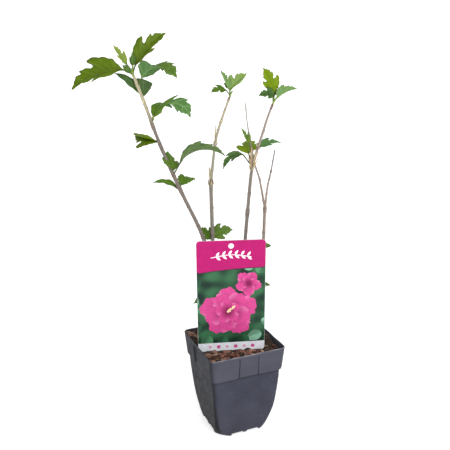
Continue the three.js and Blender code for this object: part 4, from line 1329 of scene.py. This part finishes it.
def blade_skin(base, blade, shape, settings):
    """A leaf blade as closed rings from base to tip.

    The midrib starts at its rise and droops evenly. A point of the margin lies across and along
    the midrib, turned by the roll, the twist so far and the fold of its half. Each row joins the
    midrib to the margin, arched a little, swollen between the side veins, and the underside
    follows at the blade's thickness, greatest at the midrib.
    """
    azimuth, rise, droop, length = blade
    wide, fold, roll, twist, *plain = shape
    rows, half = BLADE_MESH
    level = np.array([-np.sin(np.radians(azimuth)), np.cos(np.radians(azimuth)), 0])
    joints = 24
    pitch = rise - droop * (np.arange(joints) + 0.5) / joints
    steps = direction(azimuth, pitch) * length / joints
    spine = np.vstack([base, base + np.cumsum(steps, axis=0)])

    def on_spine(share):
        places = np.arange(joints + 1)
        return np.stack([np.interp(share * joints, places, axis) for axis in spine.T], -1)

    def turned(share, side):
        up = np.cross(direction(azimuth, rise - droop * share), level)
        tilt = np.radians(roll + twist * share + side * fold)[:, None]
        return level * np.cos(tilt) + up * np.sin(tilt), up * np.cos(tilt) - level * np.sin(tilt)

    rib, across, along, veins = leaf_rows(rows, settings.tooth, int(1000 + azimuth), sum(plain))
    middle = on_spine(rib)
    reach = np.linspace(0, 1, half + 1) ** 1.2
    ridge = hump((veins + 0.5) % 1 - 0.5, 0, 0.16)
    sides = []
    for side in (1, -1):
        out = turned(along, side)[0]
        margin = on_spine(along) + out * (side * across * wide * length)[:, None]
        face = unit(turned(rib, side)[1] + turned(along, side)[1])
        bulge = across[:, None] / HALF_LEAF[:, 1].max() * 4 * reach * (1 - reach)
        arch = 0.035 * length * wide * bulge
        swell = settings.quilting / MM * (0.5 - ridge)[:, None] * np.sin(np.pi * reach)
        wave = 0.012 * length * reach**2 * np.sin(along[:, None] * 17 + side + azimuth)
        grid = middle[:, None] + reach[:, None] * (margin - middle)[:, None]
        sides.append(grid + face[:, None] * (arch + swell + wave)[..., None])
    top = np.concatenate([sides[0][:, ::-1], sides[1][:, 1:]], axis=1)
    normal = unit(np.cross(np.gradient(top, axis=1), np.gradient(top, axis=0)))
    if np.sum(normal[rows // 4, half] * turned(np.zeros(1), 0)[1]) < 0:
        normal = -normal
    span = np.r_[-reach[::-1], reach[1:]]
    thin = max(0.42, settings.thickness * length)
    keel = 0.55 * hump(span, 0, 0.12) * (1 - 0.75 * along[:, None])
    thick = thin * (1 - 0.45 * span**4) + keel
    low = top - normal * thick[..., None]
    rings = np.concatenate([top, low[:, ::-1]], axis=1)
    wide_ring = np.r_[span, span[::-1]]
    parts = np.zeros(len(wide_ring), int)
    parts[2 * half + 1:-1] = 1
    return rings, parts, wide_ring, veins


def stalk_line(base, stalk, towards, overrun):
    """A stalk's line: straight in its own direction, then round into the blade's."""
    start = direction(stalk[0], stalk[1])
    end = base + start * stalk[2]
    route = Route([base, base + start * stalk[2] / 2, end, end + towards * overrun])
    return end, route.at(np.linspace(0, 1, 20))


def foliage(settings):
    """Every leaf and bud of every spray, in four piles: left blades, other blades, stalks, buds."""
    left, other, stalks, buds = Pile(), Pile(), Pile(), Pile()
    share = np.linspace(0, 1, 20)
    swollen = 0.8 + 0.25 * hump(share, 0, 0.12) + 0.14 * hump(share, 0.8, 0.12) - 0.1 * share
    for number, spray in enumerate(SPRAYS.values()):
        limb, at, leaves, knobs = spray
        base = spray_base(spray)
        pile = left if limb == "stem_left" else other
        for k, (stalk, blade, shape, green) in enumerate(leaves):
            towards = direction(blade[0], blade[1])
            end, line = stalk_line(base, stalk, towards, 0.12 * blade[3])
            colour = np.array(linear(GREENS[green]))
            colour[:3] *= 1 + 0.1 * np.sin(5 * number + 3 * k)
            rings, parts, across, veins = blade_skin(end, blade, shape, settings)
            pile.add(rings, parts, leaf_tint=colour, across=across, ribs=veins[:, None])
            small = 0.75 + 0.25 * min(blade[3] / 40, 1)
            pale = 0.4 * colour + 0.6 * np.array(linear("#4b5530"))
            thick = small * swollen * rounded_ends(share, 0, 0.08)
            stalks.add(tube(line, thick, 10), leaf_tint=pale)
        for stalk, length, radius in knobs:
            flower_bud(buds, stalks, base, stalk, length, radius)
        if at == 1:
            shoot_tip(stalks, buds, limb)
    return left, other, stalks, buds


def flower_bud(buds, stalks, base, stalk, length, radius):
    """A bud on its stalk: a five-ribbed egg r sin(pi s^0.75)^0.85 (1 + 0.05 cos 5a), and bracts.

    The bracts are slender lenses that start under the egg, bow outwards and rise past its middle.
    """
    axis = direction(stalk[0], stalk[1])
    end, line = stalk_line(base, stalk, axis, 0.3 * length)
    share = np.linspace(0, 1, 20)
    stalks.add(tube(line, (0.72 + 0.2 * share) * rounded_ends(share, 0, 0.08), 10),
               leaf_tint=linear("#75903f"))
    s = np.linspace(0.015, 0.99, 26)
    ribs = 1 + 0.05 * np.cos(5 * turns(40)) * smooth(s * 2)[:, None]
    skin = radius * np.sin(np.pi * s**0.75)[:, None] ** 0.85 * ribs
    tint = np.array(linear(BUD_GREEN if radius > 2 else "#b9ad62")) * (0.7 + 0.5 * s)[:, None, None]
    buds.add(tube(end + s[:, None] * length * axis, skin, 40), leaf_tint=tint)
    t = np.linspace(0, 1, 14)
    ring = turns(8)
    for k in range(7):
        out = outward(axis, 2 * np.pi * k / 7 + 0.3)
        tangent = np.cross(axis, out)
        tall = length * (1.35 if k in (2, 5) else 0.8)
        bow = radius * (0.3 + 0.85 * np.sin(np.pi * 0.7 * t))
        line = end + out * bow[:, None] + axis * (tall * t**1.3 - 0.2)[:, None]
        half = 0.3 * np.sin(np.pi * np.clip(t, 0.04, 0.97) ** 0.6) + 0.14
        lens = line[:, None] + (half[:, None] * np.cos(ring))[..., None] * tangent
        red = 0.6 * t[:, None, None] ** 2 * np.array(linear("#6a4a46"))
        buds.add(lens + (0.22 * np.sin(ring))[:, None] * out, leaf_tint=linear(BUD_GREEN) + red)


def shoot_tip(stalks, buds, limb):
    """The green shoot on a limb's tip, and the folded leaf buds and stipules in its heart."""
    route = Route(LIMBS[limb]["route"])
    heading = route.heading(1)
    foot = route.at(1) - SHOOT_ROOT * heading
    tall = SHOOT_ROOT + SHOOT_GAP + SHOOT_LENGTH
    share = np.linspace(0, 1, 16)
    radius = LIMBS[limb]["radius"][1] * (1.02 - 0.25 * share) * rounded_ends(share, 0, 0.2)
    line = foot + share[:, None] * tall * heading
    stalks.add(tube(line, radius, 16), leaf_tint=linear("#7d8c4a"))
    for azimuth, lean, long in ((20, 18, 5.2), (140, 26, 4.2), (250, 30, 3.6), (320, 42, 3)):
        axis = unit(heading + np.sin(np.radians(lean)) * direction(azimuth, 0))
        line = foot + 3 * heading + share[:, None] * long * axis
        buds.add(tube(line, 0.17 * long * egg(share, 0.7), 10), leaf_tint=linear("#6f9040"))


# ---- Operators ----
class SHRUB_OT_pot(bpy.types.Operator):
    """Mould the square nursery pot."""

    bl_idname = "shrub.pot"
    bl_label = "Nursery Pot"

    def execute(self, context):
        settings = context.scene.shrub_pot
        material = moulded_polypropylene(tuple(settings.colour))
        nursery_pot(settings).piece("nursery_pot", "pot", [material], ["pot"])
        return {"FINISHED"}


class SHRUB_OT_soil(bpy.types.Operator):
    """Fill the pot with compost, bark chips, crumbs and straw."""

    bl_idname = "shrub.soil"
    bl_label = "Potting Soil"

    def execute(self, context):
        settings = context.scene.shrub_soil
        compost = moist_compost(tuple(settings.colour))
        potting_soil(settings).piece("compost", "soil", [compost], ["potting_soil"])
        soil_litter(settings).piece("bark_chips", "soil", [composted_bark()])
        return {"FINISHED"}


class SHRUB_OT_card(bpy.types.Operator):
    """Print the picture card and set it on its stake."""

    bl_idname = "shrub.card"
    bl_label = "Picture Card"

    def execute(self, context):
        stock, printed = picture_card(context.scene.shrub_card)
        white = white_card_stock()
        stock.piece("picture_card", "card", [white], ["label_card"], flat=True)
        printed.piece("card_print", "card", [offset_print()], flat=True)
        card_stake().piece("card_stake", "stake", [white], ["label_stake"])
        return {"FINISHED"}


class SHRUB_OT_wood(bpy.types.Operator):
    """Grow the trunk, the stems, the branches and the bare twigs."""

    bl_idname = "shrub.wood"
    bl_label = "Trunk and Stems"

    def execute(self, context):
        settings = context.scene.shrub_wood
        bark = young_bark()
        trunk_skin().piece("trunk_bark", "bark", [bark], ["trunk"])
        for name, spec in LIMBS.items():
            slot = "bark" if name.startswith("stem") else "shoot"
            limb_skin(name, spec, settings).piece(name + "_bark", slot, [bark], [name])
        dormant_buds().piece("dormant_buds", "shoot", [bark])
        dry_scales().piece("dry_scales", "shoot", [bark])
        return {"FINISHED"}


class SHRUB_OT_foliage(bpy.types.Operator):
    """Grow the leaves, their stalks, the flower buds and the leaf buds."""

    bl_idname = "shrub.foliage"
    bl_label = "Leaves and Buds"

    def execute(self, context):
        left, other, stalks, buds = foliage(context.scene.shrub_leaf)
        blades = [leaf_surface("hibiscus_leaf_upper", False),
                  leaf_surface("hibiscus_leaf_under", True)]
        on_left = [name for name, spray in SPRAYS.items() if spray[0] == "stem_left"]
        left.piece("leaves_left", "foliage", blades, on_left)
        other.piece("leaves_right", "foliage", blades, [n for n in SPRAYS if n not in on_left])
        skin = green_stalk()
        stalks.piece("leaf_stalks", "foliage", [skin])
        buds.piece("flower_buds", "foliage", [skin])
        return {"FINISHED"}


class SHRUB_OT_stage(bpy.types.Operator):
    """Lay the lit floor and backdrop, hang the soft light and aim the camera."""

    bl_idname = "shrub.stage"
    bl_label = "Stage"

    def execute(self, context):
        settings = context.scene.shrub_stage
        mesh = bpy.data.meshes.new("floor")
        ahead = direction(90 - VIEW_TURN, VIEW_RISE)
        level = direction(90 - VIEW_TURN, 0)
        across = BACKDROP_REACH * np.array([level[1], -level[0], 0])
        foot = [BACKDROP_AT * level - across, BACKDROP_AT * level + across]
        sheet = [(FLOOR_REACH * x, FLOOR_REACH * y, 0)
                 for x, y in ((-1, -1), (1, -1), (1, 1), (-1, 1))]
        sheet += foot + [c + [0, 0, BACKDROP_REACH] for c in foot[::-1]]
        mesh.from_pydata(sheet, [], [(0, 1, 2, 3), (4, 5, 6, 7)])
        mesh.materials.append(lit_opal_acrylic())
        self.hang("floor", mesh)
        world = bpy.data.worlds.new("studio")
        world.use_nodes = True
        world.node_tree.nodes["Background"].inputs[0].default_value = (1, 1, 1, 1)
        world.node_tree.nodes["Background"].inputs[1].default_value = settings.sky
        context.scene.world = world
        lamp = bpy.data.lights.new("key", "AREA")
        lamp.energy, lamp.size = settings.key_power, KEY_WIDTH
        towards = direction(-90, KEY_RISE)
        holder = self.hang("key", lamp)
        holder.matrix_world = self.aimed(VIEW_TARGET + KEY_DISTANCE * towards, -towards, 0)
        camera = self.hang("camera", bpy.data.cameras.new("camera"))
        camera.data.lens, camera.data.sensor_width = settings.lens, 36
        camera.data.clip_start = 0.01
        camera.matrix_world = self.aimed(VIEW_TARGET - settings.distance * ahead, ahead, VIEW_ROLL)
        context.scene.camera = camera
        context.scene.view_settings.view_transform = "Standard"
        return {"FINISHED"}

    @staticmethod
    def hang(name, data):
        """Adds an object to the scene."""
        made = bpy.data.objects.new(name, data)
        bpy.context.scene.collection.objects.link(made)
        return made

    @staticmethod
    def aimed(place, ahead, roll):
        """The matrix of an object at a place whose -Z looks ahead, rolled clockwise by degrees."""
        right = unit(np.cross(ahead, [0, 0, 1]))
        up = np.cross(right, ahead)
        c, s = np.cos(np.radians(roll)), np.sin(np.radians(roll))
        right, up = c * right + s * up, c * up - s * right
        return Matrix([[*row, at] for row, at in zip(np.stack([right, up, -ahead], 1), place)]
                      + [[0, 0, 0, 1]])


class SHRUB_PT_sidebar(bpy.types.Panel):
    """Lists what makes up the shrub, with its settings."""

    bl_idname = "SHRUB_PT_sidebar"
    bl_label = "Potted Shrub"
    bl_space_type = "VIEW_3D"
    bl_region_type = "UI"
    bl_category = "Shrub"

    def draw(self, context):
        for operator in OPERATORS:
            self.layout.operator(operator.bl_idname)
        for name, group in SETTINGS.items():
            box = self.layout.box()
            for key in group.__annotations__:
                box.prop(getattr(context.scene, name), key)


SETTINGS = {
    "shrub_pot": PotSettings,
    "shrub_soil": SoilSettings,
    "shrub_card": CardSettings,
    "shrub_wood": WoodSettings,
    "shrub_leaf": LeafSettings,
    "shrub_stage": StageSettings,
}
OPERATORS = [SHRUB_OT_pot, SHRUB_OT_soil, SHRUB_OT_card, SHRUB_OT_wood, SHRUB_OT_foliage,
             SHRUB_OT_stage]


def register():
    """Registers the settings, the operators and the panel."""
    for group in SETTINGS.values():
        bpy.utils.register_class(group)
    for name, group in SETTINGS.items():
        setattr(bpy.types.Scene, name, PointerProperty(type=group))
    for made in (*OPERATORS, SHRUB_PT_sidebar):
        bpy.utils.register_class(made)


def unregister():
    """Takes out what register put in."""
    for made in (SHRUB_PT_sidebar, *OPERATORS):
        bpy.utils.unregister_class(made)
    for name, group in SETTINGS.items():
        delattr(bpy.types.Scene, name)
        bpy.utils.unregister_class(group)


def main():
    """Makes every piece in order."""
    register()
    bpy.ops.shrub.pot()
    bpy.ops.shrub.soil()
    bpy.ops.shrub.card()
    bpy.ops.shrub.wood()
    bpy.ops.shrub.foliage()
    bpy.ops.shrub.stage()


if __name__ == "__main__":
    main()
